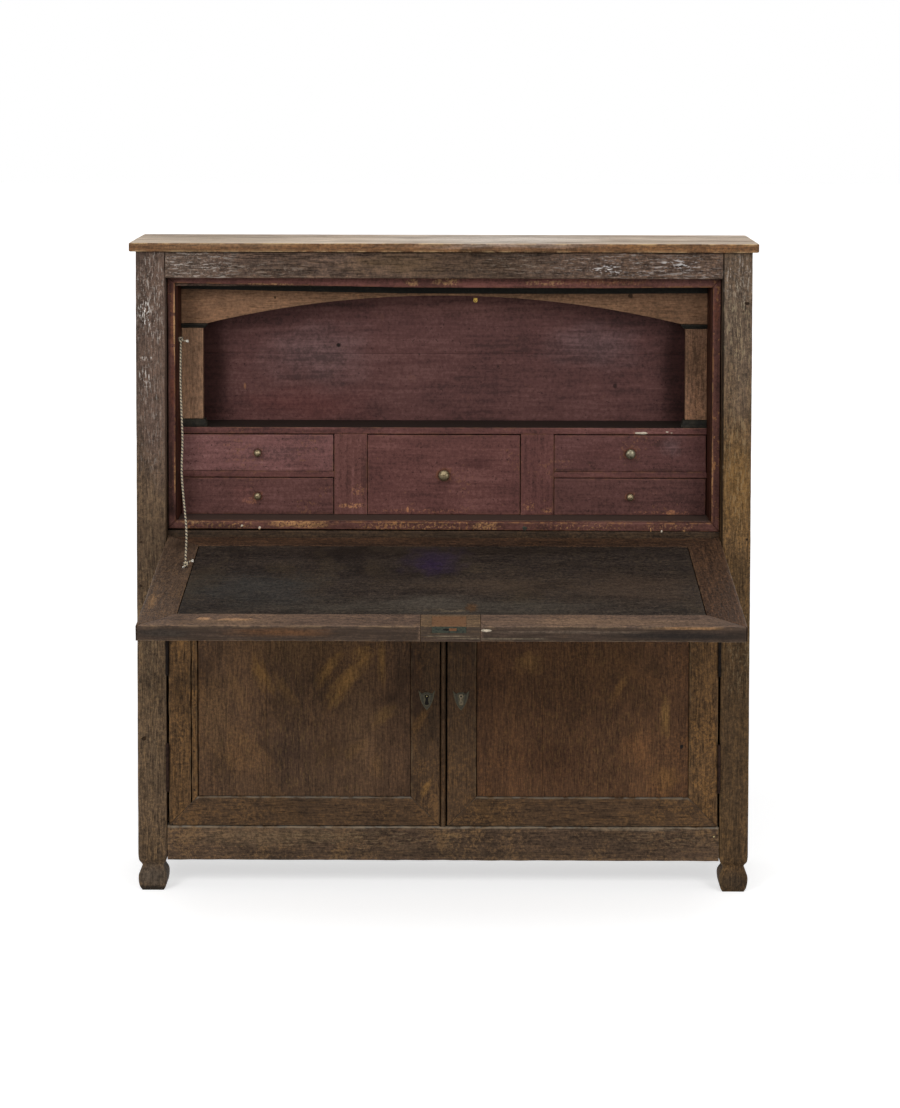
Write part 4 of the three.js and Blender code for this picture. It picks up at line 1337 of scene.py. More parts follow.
# The hinge member's oak is made dark as painted shade, for the shadow it lies in
OAK_HINGE_SHADED = Wood(
    "flap_hinge_member_shaded_oak", "flap_oak", "3b2b21", 0.6, worn="4a3a2a", edge_wear=0.15, rough=0.55,
    blotch=0.3,
)
OAK_OUTSIDE = Wood(
    "flap_outside_oak", "flap_oak", "4d3b2c", 0.3, worn="6a553d", edge_wear=0.1, blotch=0.4, warm=0.3,
)
BOARD_FLAP = Wood(
    "flap_writing_board", "flap_board", "2e2824", 0.7, stain="12100e", worn="3c342c", blotch=0.6, warm=0.4,
    edge_wear=0.15, rough=0.5, relief=0.35, figure=0.5, grooves=0.3,
)
OAK_PALE = Wood(
    "arch_oak", "pale_wood", "81614a", 0.2, worn="a08062", stain="4a3524", blotch=0.25, edge_wear=0.5,
    warm=0.15, relief=0.3, grooves=0.12,
    patches=on_face(
        GALLERY_FACE, 0.05,
        (0.388, 1.226, 0.006, 0.006, "33261b", 0.85, 0.3, 0.3),
        (-0.353, 1.221, 0.003, 0.003, "2a1f17", 0.85, 0.3, 0.3),
        (0.45, 1.19, 0.12, 0.05, "5b4230", 0.5, 0.9, 0.5),
    ),
)
PILASTER_LEFT = replace(OAK_PALE, name="pilaster_left_oak", tone="8c6c55", patches=())
PILASTER_RIGHT = replace(
    OAK_PALE, name="pilaster_right_oak", tone="82614c", swing=0.3,
    patches=on_face(GALLERY_FACE, 0.05, (0.52, 1.08, 0.05, 0.1, "4d3828", 0.55, 0.9, 0.5)),
)
OAK_ROUGH = Wood(
    "back_boards_oak", "rough_back", "59493a", 0.2, worn="7d6a55", relief=0.9, rough=0.75, edge_wear=0.3,
)
DRAWER_WOOD = Wood(
    "drawer_inside_wood", "pale_wood", "86705a", 0.2, worn="a58c6c", stain="5a4836", blotch=0.2,
    edge_wear=0.3, relief=0.3, grooves=0.1,
)
RED = Paint("red_paint_gallery", "red_paint", "5d3b37", 0.24, edge_wear=0.55, bare="8f6446")
RED_LEFT_DIVIDER = replace(
    RED, name="red_paint_left_divider", tone="603e39",
    patches=on_face(
        GALLERY_FACE, 0.04,
        (-0.193, 0.785, 0.034, 0.007, "9c6f4d", 0.8, 0.5, 0.5, 190, 0.52),
        (-0.178, 0.818, 0.018, 0.016, "93674a", 0.7, 0.5, 0.5, 190, 0.55),
    ),
)
RED_RIGHT_DIVIDER = replace(
    RED, name="red_paint_right_divider",
    patches=on_face(
        GALLERY_FACE, 0.04,
        (0.178, 0.786, 0.016, 0.014, "93674a", 0.75, 0.5, 0.5, 190, 0.55),
        (0.216, 0.776, 0.014, 0.007, "9c6f4d", 0.8, 0.5, 0.5, 190, 0.53),
    ),
)
# Each drawer's own paint, where it differs, and its marks as on_face takes them
DRAWER_TONES = {
    "upper_left": "6f4b48", "lower_left": "593a36", "upper_right": "573835", "lower_right": "573935",
}
DRAWER_MARKS = {
    "upper_left": (
        (-0.36, 0.895, 0.08, 0.02, "7d5a57", 0.4, 0.9, 0.8),
        (-0.29, 0.87, 0.04, 0.02, "4b2c29", 0.4, 0.9),
    ),
    "lower_left": (
        (-0.405, 0.795, 0.02, 0.009, "8d5f48", 0.6, 0.5, 0.6, 150, 0.5),
        (-0.42, 0.81, 0.03, 0.03, "6e4742", 0.4, 0.9),
    ),
    "centre": (
        (0.07, 0.875, 0.05, 0.02, "3d2422", 0.6, 0.7, 0.7),
        (-0.076, 0.777, 0.003, 0.007, "9a6a4a", 0.8, 0.4),
        (-0.05, 0.774, 0.14, 0.005, "8f6048", 0.6, 0.5, 0.6, 190, 0.56),
    ),
    "upper_right": (
        (0.475, 0.91, 0.03, 0.03, "6f5655", 0.5, 0.9, 0.7),
        (0.33, 0.9, 0.06, 0.03, "4a2c29", 0.3, 0.9),
    ),
    "lower_right": (
        (0.475, 0.772, 0.012, 0.007, "9c6c4c", 0.8, 0.5, 0.6, 150, 0.46),
        (0.46, 0.772, 0.08, 0.004, "8f6048", 0.7, 0.5, 0.6, 190, 0.55),
    ),
}
# The linings' near-black red is painted shade, for the dark recess between the strips and the pilasters
RED_LINER_SHADED = Paint("red_paint_lining_shaded", "red_paint", "34190f", bare="4a2b1e", edge_wear=0.3, chips=0.1)
RED_BACK = Paint(
    "red_paint_back", "red_paint", "5a3b38", swing=0.24, chips=0.1, raw="5c4c3d",
    patches=on_face(
        BACK_FACE, 0.2,
        # Painted light: lighter just under the arch, against its shade; the next patch makes it darker
        # towards the bottom
        (0.06, 1.195, 0.42, 0.04, "704d47", 0.6, 0.9),
        (-0.3, 0.98, 0.22, 0.055, "522c29", 0.5, 0.9, 0.6),
        # Painted sheen: two pale bluish patches on the back
        (-0.27, 1.09, 0.16, 0.09, "77605f", 0.4, 0.9, 0.5),
        (0.32, 1.11, 0.14, 0.07, "705a5a", 0.45, 0.9, 0.5),
        # Painted shadow beside each pilaster
        (-0.53, 1.06, 0.08, 0.2, "26100d", 0.75, 0.45, 0.1),
        (0.53, 1.06, 0.08, 0.2, "26100d", 0.75, 0.45, 0.1),
        (-0.2254, 1.1102, 0.0062, 0.0055, "150c0b", 0.95, 0.5, 0.2),
        (0.363, 1.024, 0.006, 0.006, "1d1210", 0.8, 0.5, 0.4),
        (-0.425, 1.022, 0.003, 0.008, "8d6246", 0.7, 0.5, 0.4),
    ),
)
RED_STRIP = Paint("red_paint_strip", "red_paint", "53352f", bare="8f6440", chips=0.8, edge_wear=0.8)
RED_SHELF = Paint("red_paint_shelf", "red_paint", "5d3b37", top="28211d")
RED_FLOOR = Paint("writing_floor_stain", "red_paint", "4a3630", top="3f322c")
BLACK = Paint(
    "black_paint_mouldings", "black_paint", "211f1b", bare="5a5142", chips=0.2, edge_wear=0.5, shine=0.06,
)
BARE = Paint("bare_wood_marks", "pale_wood", "98704a", bare="b98d5c", chips=0.0, edge_wear=0.0)
FILLER = Paint("pale_filler", "pale_wood", "b9ad9a", swing=0.1, bare="cfc5b5", chips=0.0, edge_wear=0.0)
# Near black: painted shade in the left keyhole, the nail holes and the bolt slot, and the dark colour of the
# right door's knot and key pin
HOLE_SHADE_AND_DARK_MARKS = Paint("hole_shade_and_dark_marks", "black_paint", "120e0b", bare="1d1610", chips=0.0, edge_wear=0.0)
BARE_KEYHOLE = Paint("pale_keyhole_fill", "pale_wood", "8e8068", chips=0.0, edge_wear=0.0)
PEG = Wood("oak_pegs", "aged_oak", "33261b", 0.25, edge_wear=0.2)
BRASS = Metal("knob_brass", "brass", "8a7c62", "4a3c28", share=0.5, metallic=0.8, rough=0.45)
BRASS_BRIGHT = Metal("bright_knob_brass", "brass", "b5a878", "7d6b41", share=0.3, metallic=0.9, rough=0.3)
BRASS_GREY = Metal("grey_knob_brass", "brass", "7b7461", "46402f", share=0.45, metallic=0.6, rough=0.34)
CATCH_BRASS = Metal("catch_brass", "brass", "c2a052", "7a5f2a", share=0.3, metallic=0.5, rough=0.35)
BRONZE = Metal(
    "escutcheon_bronze", "dark_bronze", "45423a", "2a2924", share=0.5, metallic=0.1, rough=0.55, scale=420,
)
STEEL = Metal("lock_strip_steel", "rusty_iron", "36392f", "242624", share=0.5, metallic=0.1, rough=0.55)
PLATE = Metal(
    "lock_plate_rust", "rusty_iron", "6c4f38", "553c2a", share=0.4, metallic=0.1, rough=0.6, scale=180,
)
BOLT = Metal("lock_bolt_rust", "rusty_iron", "65442c", "4c3224", share=0.4, metallic=0.2, rough=0.5)
RUST = Metal("hinge_rust", "rusty_iron", "2c1c14", "1c120d", share=0.5, metallic=0.1, rough=0.7, scale=140)
# Dark iron made near black as painted shade, so that the upper hinges read as the gap beside the doors
IRON_GAP_SHADE = Metal("hinge_iron_gap_shade", "rusty_iron", "18110d", "120d0a", share=0.5, metallic=0.0, rough=0.8, scale=140)
CORD = Fibre()


@dataclass
class Studio:
    """The camera of the photograph, three soft lamps, a pale world and a floor."""

    place: Triple = (0.0358, -5.3185, 1.73)
    yaw: float = -0.25
    pitch: float = 3.19
    roll: float = -0.11
    focal_pixels: float = 2682.6
    image: Pair = (900, 1108)
    centre_row: float = 202.95
    sensor: float = 36.0
    world_light: float = 0.36
    floor_reach: float = 30.0

    def stand(
        self, name: str, data: bpy.types.ID, axes: Sequence[np.ndarray], place: Triple
    ) -> bpy.types.Object:
        """Put a camera or a lamp in the scene.

        Args:
            name: its name.
            data: the camera or lamp.
            axes: where its own X, Y and Z point.
            place: where it stands.

        Returns:
            The object.
        """
        thing = bpy.data.objects.new(name, data)
        bpy.context.scene.collection.objects.link(thing)
        matrix = Matrix(np.array(axes).T.tolist()).to_4x4()
        matrix.translation = place
        thing.matrix_world = matrix
        return thing

    def camera(self) -> None:
        """Set the camera from the angles and the focal length that the photograph gave.

        The axes are right r, up u and back b: forward is (sin yaw cos pitch, cos yaw cos pitch,
        -sin pitch), and roll turns r and u about it.
        """
        yaw, pitch, roll = (math.radians(v) for v in (self.yaw, self.pitch, self.roll))
        level = math.cos(pitch)
        forward = np.array([math.sin(yaw) * level, math.cos(yaw) * level, -math.sin(pitch)])
        right = np.array([math.cos(yaw), -math.sin(yaw), 0.0])
        down = np.cross(forward, right)
        axis_x = math.cos(roll) * right + math.sin(roll) * down
        axis_down = -math.sin(roll) * right + math.cos(roll) * down
        lens = bpy.data.cameras.new("camera")
        lens.sensor_fit = "HORIZONTAL"
        lens.sensor_width = self.sensor
        lens.lens = self.focal_pixels / self.image[0] * self.sensor
        lens.shift_y = -(self.image[1] / 2 - self.centre_row) / self.image[0]
        lens.clip_end = 60
        bpy.context.scene.camera = self.stand("camera", lens, (axis_x, -axis_down, -forward), self.place)

    def lamp(self, name: str, place: Triple, target: Triple, size: float, power: float) -> None:
        """Hang one square soft lamp that faces a target.

        Args:
            name: the lamp's name.
            place: where it hangs.
            target: what it faces.
            size: the side of the square.
            power: watts.
        """
        data = bpy.data.lights.new(name, "AREA")
        data.shape, data.size, data.energy = "SQUARE", size, power
        back = np.subtract(place, target)
        back = back / np.linalg.norm(back)
        side = np.cross((0, 0, 1), back)
        side = side / np.linalg.norm(side)
        self.stand(name, data, (side, np.cross(back, side), back), place)

    def lights(self) -> None:
        """Two lamps in front, one above, and a world that is white to the camera."""
        self.lamp("lamp_left", (-2.3, -3.6, 2.6), (0, 0.1, 0.75), 1.2, 70)
        self.lamp("lamp_right", (2.3, -3.6, 2.6), (0, 0.1, 0.75), 1.2, 55)
        self.lamp("lamp_above", (0.0, -1.6, 4.2), (0, 0.1, 0.6), 2.0, 46)
        world = bpy.data.worlds.new("studio_world")
        bpy.context.scene.world = world
        n = Tree(world)
        out = n.add("ShaderNodeOutputWorld")
        background = n.add("ShaderNodeBackground", {"Color": (1.0, 1.0, 1.0, 1.0)})
        path = n.add("ShaderNodeLightPath").outputs
        seen: object = 0.0
        for kind in SEEN_BY:
            both = n.add("ShaderNodeMath", {0: path[kind], 1: seen}, operation="ADD", use_clamp=True)
            seen = both.outputs[0]
        level = n.add("ShaderNodeMapRange", {"Value": seen, "To Min": self.world_light, "To Max": 1.0})
        n.tree.links.new(level.outputs[0], background.inputs["Strength"])
        n.tree.links.new(background.outputs[0], out.inputs["Surface"])

    def floor(self) -> None:
        """Lay a pale floor that keeps the cabinet's shadow."""
        mesh = bpy.data.meshes.new("floor")
        span = (-self.floor_reach, self.floor_reach)
        mesh.from_pydata([(x, y, 0) for x, y in rectangle(span, span)], [], [(0, 1, 2, 3)])
        floor = bpy.data.objects.new("floor", mesh)
        bpy.context.scene.collection.objects.link(floor)
        n = Nodes("floor_white")
        n.wire("Base Color", (0.8, 0.8, 0.8, 1))
        n.wire("Roughness", 0.9)
        path = n.add("ShaderNodeLightPath").outputs
        far = n.length(n.place)
        seen = n.sum(*((path[kind], 1.0) for kind in SEEN_BY))
        n.wire("Emission Color", (1, 1, 1, 1))
        n.wire("Emission Strength", n.times(seen, n.sum((n.ramp(far, 1.0, 6.0), 0.25), (1.0, 0.6))))
        mesh.materials.append(n.material)

    def set_up(self) -> None:
        """Make the camera, the lights and the floor."""
        self.camera()
        self.lights()
        self.floor()
        bpy.context.scene.view_settings.view_transform = "Standard"
        log.info("studio: camera, lamps, world and floor")


@dataclass
class StayRope:
    """The twisted cord that holds the flap, with a knot and a frayed tuft at each end."""

    diameter: float = 0.0045
    strands: int = 3
    lay_length: float = 0.0074
    still_share: float = 0.07
    route: tuple[Triple, ...] = (
        (-0.5432, 0.062, 1.13907),
        (-0.53521, -0.01392, 1.00301),
        (-0.5232, -0.09798, 0.85681),
        (-0.5102, -0.1845, 0.71649),
    )
    wander: tuple[Pair, ...] = (
        (0.0, -0.0012), (0.17, -0.0016), (0.44, 0.0008), (0.6, -0.0024), (0.86, 0.0034), (1.0, 0.0),
    )
    knot_size: float = 0.0025
    fray: tuple[int, int] = (44, 7)

    def path(self, count: int) -> np.ndarray:
        """Carry a Catmull-Rom spline through the route's points, and set it off sideways a little.

        Between four points the spline is a cubic of t that passes the middle two with the slope
        of the outer ones. The sideways step runs from one row of wander to the next as
        t^2 (3 - 2t).

        Args:
            count: points wanted.

        Returns:
            Evenly spaced points along the rope, in the row frame.
        """
        knots = np.array(self.route) + (0, FRONT_Y, 0)
        ends = np.vstack([2 * knots[0] - knots[1], knots, 2 * knots[-1] - knots[-2]])
        pieces = []
        for p0, p1, p2, p3 in zip(ends, ends[1:], ends[2:], ends[3:]):
            t = np.linspace(0, 1, 60, endpoint=False)[:, None]
            square, cube = 2 * p0 - 5 * p1 + 4 * p2 - p3, 3 * p1 - p0 - 3 * p2 + p3
            pieces.append(0.5 * (2 * p1 + (p2 - p0) * t + square * t**2 + cube * t**3))
        dense = np.vstack([*pieces, knots[-1:]])
        run = run_along(dense)
        even = np.linspace(0, run[-1], count)
        line = np.stack([np.interp(even, run, dense[:, i]) for i in range(3)], 1)
        share, step = np.array(self.wander).T
        place = np.interp(even / run[-1], share, np.arange(len(share)))
        low = np.minimum(place.astype(int), len(share) - 2)
        t = place - low
        line[:, 0] += step[low] + (step[low + 1] - step[low]) * t * t * (3 - 2 * t)
        return line

    def twisted(self, path: np.ndarray, radius: float) -> Skin:
        """Carry a lobed section along a path: r(u, v) = R (0.84 + 0.16 cos(n (u + twist v))).

        Args:
            path: centreline.
            radius: the largest radius.

        Returns:
            The rope, whose edge attribute is low on its one dark strand.
        """
        sides = 12
        u = np.linspace(0, 2 * math.pi, sides, endpoint=False)
        run = run_along(path)
        turn = u[None] + 2 * math.pi * run[:, None] / self.lay_length
        grid = radius * (0.84 + 0.16 * np.cos(self.strands * turn))
        skin = tube(path, grid, sides)
        # One strand is dark, and shows as a short slanting tick at every turn
        skin.edge = np.clip(0.5 - 3.0 * (np.cos(turn) - 0.2), 0, 1).ravel()
        return skin

    def knot(self, centre: np.ndarray, name: str) -> Skin:
        """Tie a trefoil: (sin t + 2 sin 2t, cos t - 2 cos 2t, -sin 3t), with a tail frayed at its tip.

        Args:
            centre: the middle of the knot.
            name: upper or lower; the tail of the lower one lies up the flap.

        Returns:
            The knot, its tail and the fray.
        """
        t = np.linspace(0, 2 * math.pi, 60)
        across, up = np.sin(t) + 2 * np.sin(2 * t), np.cos(t) - 2 * np.cos(2 * t)
        loop = np.stack([across, -np.sin(3 * t), up], 1)
        skin = self.twisted(centre + loop * self.knot_size * 0.62, self.diameter * 0.4)
        rng = np.random.default_rng(seed_of(name))
        s = np.linspace(0, 1, 24)[:, None]
        tails = {
            "upper": [((0.0125, -0.004, -0.0022), (0.0, 0.0, -0.0016))],
            "lower": [
                ((0.012, -0.001, 0.0072), (0.0, 0.0, 0.001)),
                ((-0.003, -0.004, -0.0035), (0.002, 0.0, 0.0)),
            ],
        }
        for hairs, (way, bend) in zip(self.fray, tails[name]):
            tail = centre + s * np.array(way) + 4 * s * (1 - s) * np.array(bend)
            skin = skin + self.twisted(tail, self.diameter * 0.36)
            along = np.array(way) / np.linalg.norm(way)
            droop = s[::4] ** 2 * np.array([0, 0, -0.001])
            for _ in range(hairs):
                spread = along + rng.uniform(-0.85, 0.85, 3)
                hair = tail[-1] - along * 0.001 + s[::4] * spread * 0.0036 + droop
                thin = tube(hair, np.linspace(0.0007, 0.0004, len(hair)), 5)
                thin.edge[:] = 1.5
                skin = skin + thin
        return skin

    def make(self) -> None:
        path = self.path(700)
        twist = self.twisted(path, self.diameter / 2)
        rope = build("stay_rope_twist", twist, CORD, "carcass", ["stay_rope"])
        upper = build("rope_knot_upper", self.knot(path[0], "upper"), CORD, "carcass")
        lower = build("rope_knot_lower", self.knot(path[-1] + (0, 0, 0.0005), "lower"), CORD, "flap")
        rope.parent = None
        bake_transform(rope)
        [tuple(p) for p in self.path(36)]


@dataclass
class Carcass:
    """Posts, rails, sides, back, floors, lining and the red strips round the flap's opening."""

    arris: float = 0.0018
    post_arris: float = 0.0025
    rail_step: float = 0.045
    opening_x: Pair = (-0.5525, 0.5517)
    foot_rise: float = 0.065
    foot_depth: float = 0.062
    foot: tuple[Pair, ...] = (
        (0.0, 0.74), (0.002, 0.8), (0.006, 0.88), (0.012, 0.94), (0.02, 0.985), (0.028, 1.0), (0.034, 0.98),
        (0.039, 0.92), (0.043, 0.84), (0.047, 0.76), (0.051, 0.725), (0.055, 0.74), (0.058, 0.82),
        (0.061, 0.91), (0.065, 0.96), (0.072, 0.99), (0.08, 1.0),
    )

    def top_board(self) -> None:
        """The overhanging top: long front arrises, worn most below, with one rounder corner."""
        x, y, z = node_span("top_board")
        corners = rectangle(x, y)
        outline = Outline(corners, arris=0.0022, rounding=(0.006, 0.012, 0.004, 0.004), spacing=0.012)
        skin = Slab("top_board_worn", outline, z, Plane.XY, ALONG_X, wear=0.35, ragged=0.0006).skin()
        build("top_board_worn", skin, OAK_TOP, "carcass", ["top_board"])

    def post(self, name: str) -> None:
        """A square post whose foot is a cove over a swelling with a rounded sole.

        The half width h(z) runs smoothly through the foot's profile. A point is the corner's
        centre plus r (cos u, sin u).

        Args:
            name: left or right.
        """
        node = f"front_stile_{name}"
        x, y, z = node_span(node)
        half = (x[1] - x[0]) / 2
        level, share = np.array(self.foot).T
        low = np.concatenate([[0, 0.0006, 0.0015], np.arange(0.003, level[-1], 0.0016)])
        near = np.linspace(-0.003, 0.003, 7)
        soft = np.mean([np.interp(low + shift, level, share) for shift in near], 0)
        shaft = np.linspace(level[-1] + 0.004, z[1], 64)
        height = np.concatenate([low, shaft])
        soft = np.minimum(soft, np.interp(low, level, share) + 0.02)
        reach = half * np.concatenate([soft, np.ones(len(shaft))])
        seed = seed_of(node)
        reach = reach - 0.0005 * (0.5 + 0.5 * waver(height, seed, (0.41, 0.13, 0.05)))
        arris = self.post_arris * (1 + 0.5 * waver(height, seed + 1, (0.19, 0.06, 0.033)))
        turn = np.concatenate([np.linspace(q, q + 1, ARC_POINTS) for q in range(4)]) * math.pi / 2
        sign = np.repeat([[1, 1], [-1, 1], [-1, -1], [1, -1]], ARC_POINTS, 0)
        ring = np.stack([np.cos(turn), np.sin(turn)], 1)
        flat = sign * (reach - arris)[:, None, None] + ring * arris[:, None, None]
        # Two more points on each flat keep the worn arris narrow
        quarter = flat.reshape(len(height), 4, ARC_POINTS, 2)
        after = np.roll(quarter[:, :, 0], -1, 1)
        step = (after - quarter[:, :, -1]) * 0.09
        more = np.stack([quarter[:, :, -1] + step, after - step], 2)
        full = np.concatenate([quarter, more], 2).reshape(len(height), -1, 2)
        points = np.empty((*full.shape[:2], 3))
        points[..., 0] = sum(x) / 2 + full[..., 0]
        points[..., 1] = sum(y) / 2 + full[..., 1]
        points[..., 2] = height[:, None]
        grid = points.reshape(-1, 3)
        edge = np.tile([0.4, 1, 1, 0.4, 0, 0], 4 * len(height))
        skin = Skin(grid, band_faces(*full.shape[:2]), edge, grain_places(grid, ALONG_Z, node))
        finish = POST_LEFT if name == "left" else POST_RIGHT
        build(f"post_{name}", skin, finish, "carcass", [node])

    def side(self, name: str) -> None:
        """A side plank, cut away below in a quarter circle so that its back end is the rear foot.

        Args:
            name: left or right.
        """
        node = f"side_plank_{name}"
        x, y, z = node_span(node)
        rise = self.foot_rise
        turn = np.linspace(math.pi / 2, 0, 9)
        centre = y[1] - self.foot_depth - rise
        cut = [(centre + rise * math.cos(t), rise * math.sin(t)) for t in turn]
        corners = [(y[0], rise), *cut, (y[1], 0.0), (y[1], z[1]), (y[0], z[1])]
        outline = Outline(corners, self.arris, [0.002] + [0.0] * 8 + [0.002] * 4)
        skin = Slab(node, outline, x, Plane.YZ, ALONG_Z).skin()
        build(f"{node}_worn", skin, OAK_SIDE, "carcass", [node])

    def rails(self) -> None:
        """The rails between the posts; the upper two have a tongue behind for the lining."""
        x, y, z = node_span("top_rail")
        _, (_, strip_back), (_, low) = node_span("stop_strip_top")
        face = (low + HAIR, z[1])
        front = board("top_rail", x, (y[0], strip_back), face, ALONG_X, arris=0.002, wear=0.5, ragged=0.0006)
        rear = board("top_rail_tongue", x, (strip_back, y[1]), z, ALONG_X)
        build("top_rail_worn", front + rear, OAK_RAIL, "carcass", ["top_rail"])
        x, y, z = node_span("middle_rail")
        strip_face = node_span("stop_strip_bottom")[1][0]
        front = board("middle_rail", x, (y[0], strip_face), (z[0], z[1] - self.rail_step), ALONG_X)
        rear = board("middle_rail_tongue", x, (strip_face, y[1]), z, ALONG_X)
        build("middle_rail_worn", front + rear, OAK_FRONT, "carcass", ["middle_rail"])
        x, y, z = node_span("bottom_rail")
        corners = rectangle(x, z)
        outline = Outline(corners, (0.002, 0.001, 0.0042, 0.001), 0.001)
        skin = Slab("bottom_rail", outline, y, Plane.XZ, ALONG_X, wear=0.3, ragged=0.0012).skin()
        build("bottom_rail_worn", skin, OAK_SILL, "carcass", ["bottom_rail"])

    def inside(self) -> None:
        """The back, the floors, the side linings and the strips that the flap stops against."""
        for node, finish, arris in (
            ("back_board_lower", RED_BACK, 0.0004),
            ("back_board_upper", RED_BACK, 0.0004),
            ("writing_floor", RED_FLOOR, 0.001),
            ("cupboard_floor", OAK_ROUGH, 0.001),
        ):
            rebuild(node, f"{node}_worn", ALONG_X, finish, arris)
        for name in ("left", "right"):
            node = f"liner_{name}"
            x, y, z = node_span(node)
            _, rail_y, rail_z = node_span("top_rail")
            back, notch = rail_y[1] + HAIR, rail_z[0] - HAIR
            corners = [(y[0], z[0]), (y[1], z[0]), (y[1], z[1]), (back, z[1]), (back, notch), (y[0], notch)]
            skin = Slab(node, Outline(corners, 0.001, 0.0), x, Plane.YZ, ALONG_Z).skin()
            # The linings' dark paint is painted shade
            build(f"{node}_worn", skin, RED_LINER_SHADED, "carcass", [node])
        self.strips()

    def strips(self) -> None:
        """Four mitred strips, planed a little uneven, the red paint worn off them in places, with painted
        shade along the side strips' outer edges and inner flanks.

        The inner opening's four corners and the bends of the top strip's lower edge are measured.
        """
        x, y, z = node_span("stop_strip_bottom")
        half, low = x[1], z[0]
        high = node_span("stop_strip_top")[2][1]
        west, east = self.opening_x
        floor_west, floor_east, head_west, head_east = 0.7662, 0.7645, 1.258, 1.251
        under_top = [(-0.398, 1.2548), (-0.255, 1.2529), (-0.09, 1.25), (0.16, 1.2492), (0.32, 1.2492)]
        bars = {
            "bottom": [(-half, low + 0.004), (half, low), (east, floor_east), (west, floor_west)],
            "top": [(half, high), (-half, high), (west, head_west), *under_top, (east, head_east)],
            "left": [(-half, high), (-half, low + 0.004), (west, floor_west), (west, head_west)],
            "right": [(half, low), (half, high), (east, head_east), (east, floor_east)],
        }
        for name, corners in bars.items():
            arris = (0.0012, KEEN, *[0.0026] * (len(corners) - 3), KEEN)
            lies = name in ("bottom", "top")
            skin = mitred_bar(f"strip_{name}", corners, y, lies, arris, wear=0.4, ragged=0.0003)
            patches = self.strip_patches(name, y[0])
            finish = replace(RED_STRIP, name=f"red_paint_strip_{name}", patches=patches)
            build(f"strip_{name}_painted", skin, finish, "carcass", [f"stop_strip_{name}"])

    def marks(self) -> None:
        """Pegs, nail holes, a brass nail, and the worn spots and filled holes of the lower strip."""
        face = node_span("stop_strip_bottom")[1][0] + 0.0002
        sill = node_span("bottom_rail")[1][0] + 0.0003
        pegs = [
            (618.3, 1222.0, 5.0, 4.0), (622.3, 736.2, 3.4, 2.72), (-620.9, 727.6, 3.4, 2.72),
            (-621.3, 636.5, 3.4, 2.72), (-616.5, 319.2, 6.0, 4.8),
        ]
        worn = [
            (-478.0, 758.0, 1.8, 2.8), (-461.0, 757.5, 2.4, 3.2), (-435.5, 758.0, 2.0, 1.8),
            (255.0, 753.6, 1.6, 3.2), (427.0, 750.6, 2.0, 4.4), (495.5, 748.0, 3.0, 2.4),
            (-379.7, 752.2, 3.6, 3.2),
        ]
        pale = [(-416.3, 756.4, 2.4, 2.4), (-379.7, 752.4, 2.6, 2.4), (449.5, 746.8, 2.2, 2.2)]
        # Piece, what its rims are drawn from, places and sizes in millimetres, face, height, finish
        for piece, seed, rows, y, depth, finish in (
            ("post_pegs", "pegs", pegs, FRONT_Y + 0.0004, 0.0009, PEG),
            ("bottom_rail_nail", "nail", [(559.0, 117.6, 1.9, 1.9)], sill, 0.0012, BRASS_BRIGHT),
            ("strip_worn_spots", "worn", worn, face, 0.0004, BARE),
            ("strip_filled_holes", "filled", pale, face - HAIR, 0.0004, FILLER),
            ("strip_screw", "screw", [(167.2, 752.5, 5.2, 5.2)], face, 0.0006, STEEL),
        ):
            spots = [tuple(v * MM for v in row) for row in rows]
            build(piece, blots(seed, spots, y, depth), finish, "carcass")

    def strip_patches(self, name: str, y: float) -> tuple[Patch, ...]:
        """Give the places where one strip's paint has gone, and the painted shade along a side strip's
        edges.

        Args:
            name: which strip.
            y: its face.

        Returns:
            The patches.
        """
        # The near-black colour paints the shade of the gaps along the side strips' outer edges, and a dark
        # smudge on the left strip
        tan, pale, gap_shade_and_dirt = "96704b", "a37f58", "1c100c"
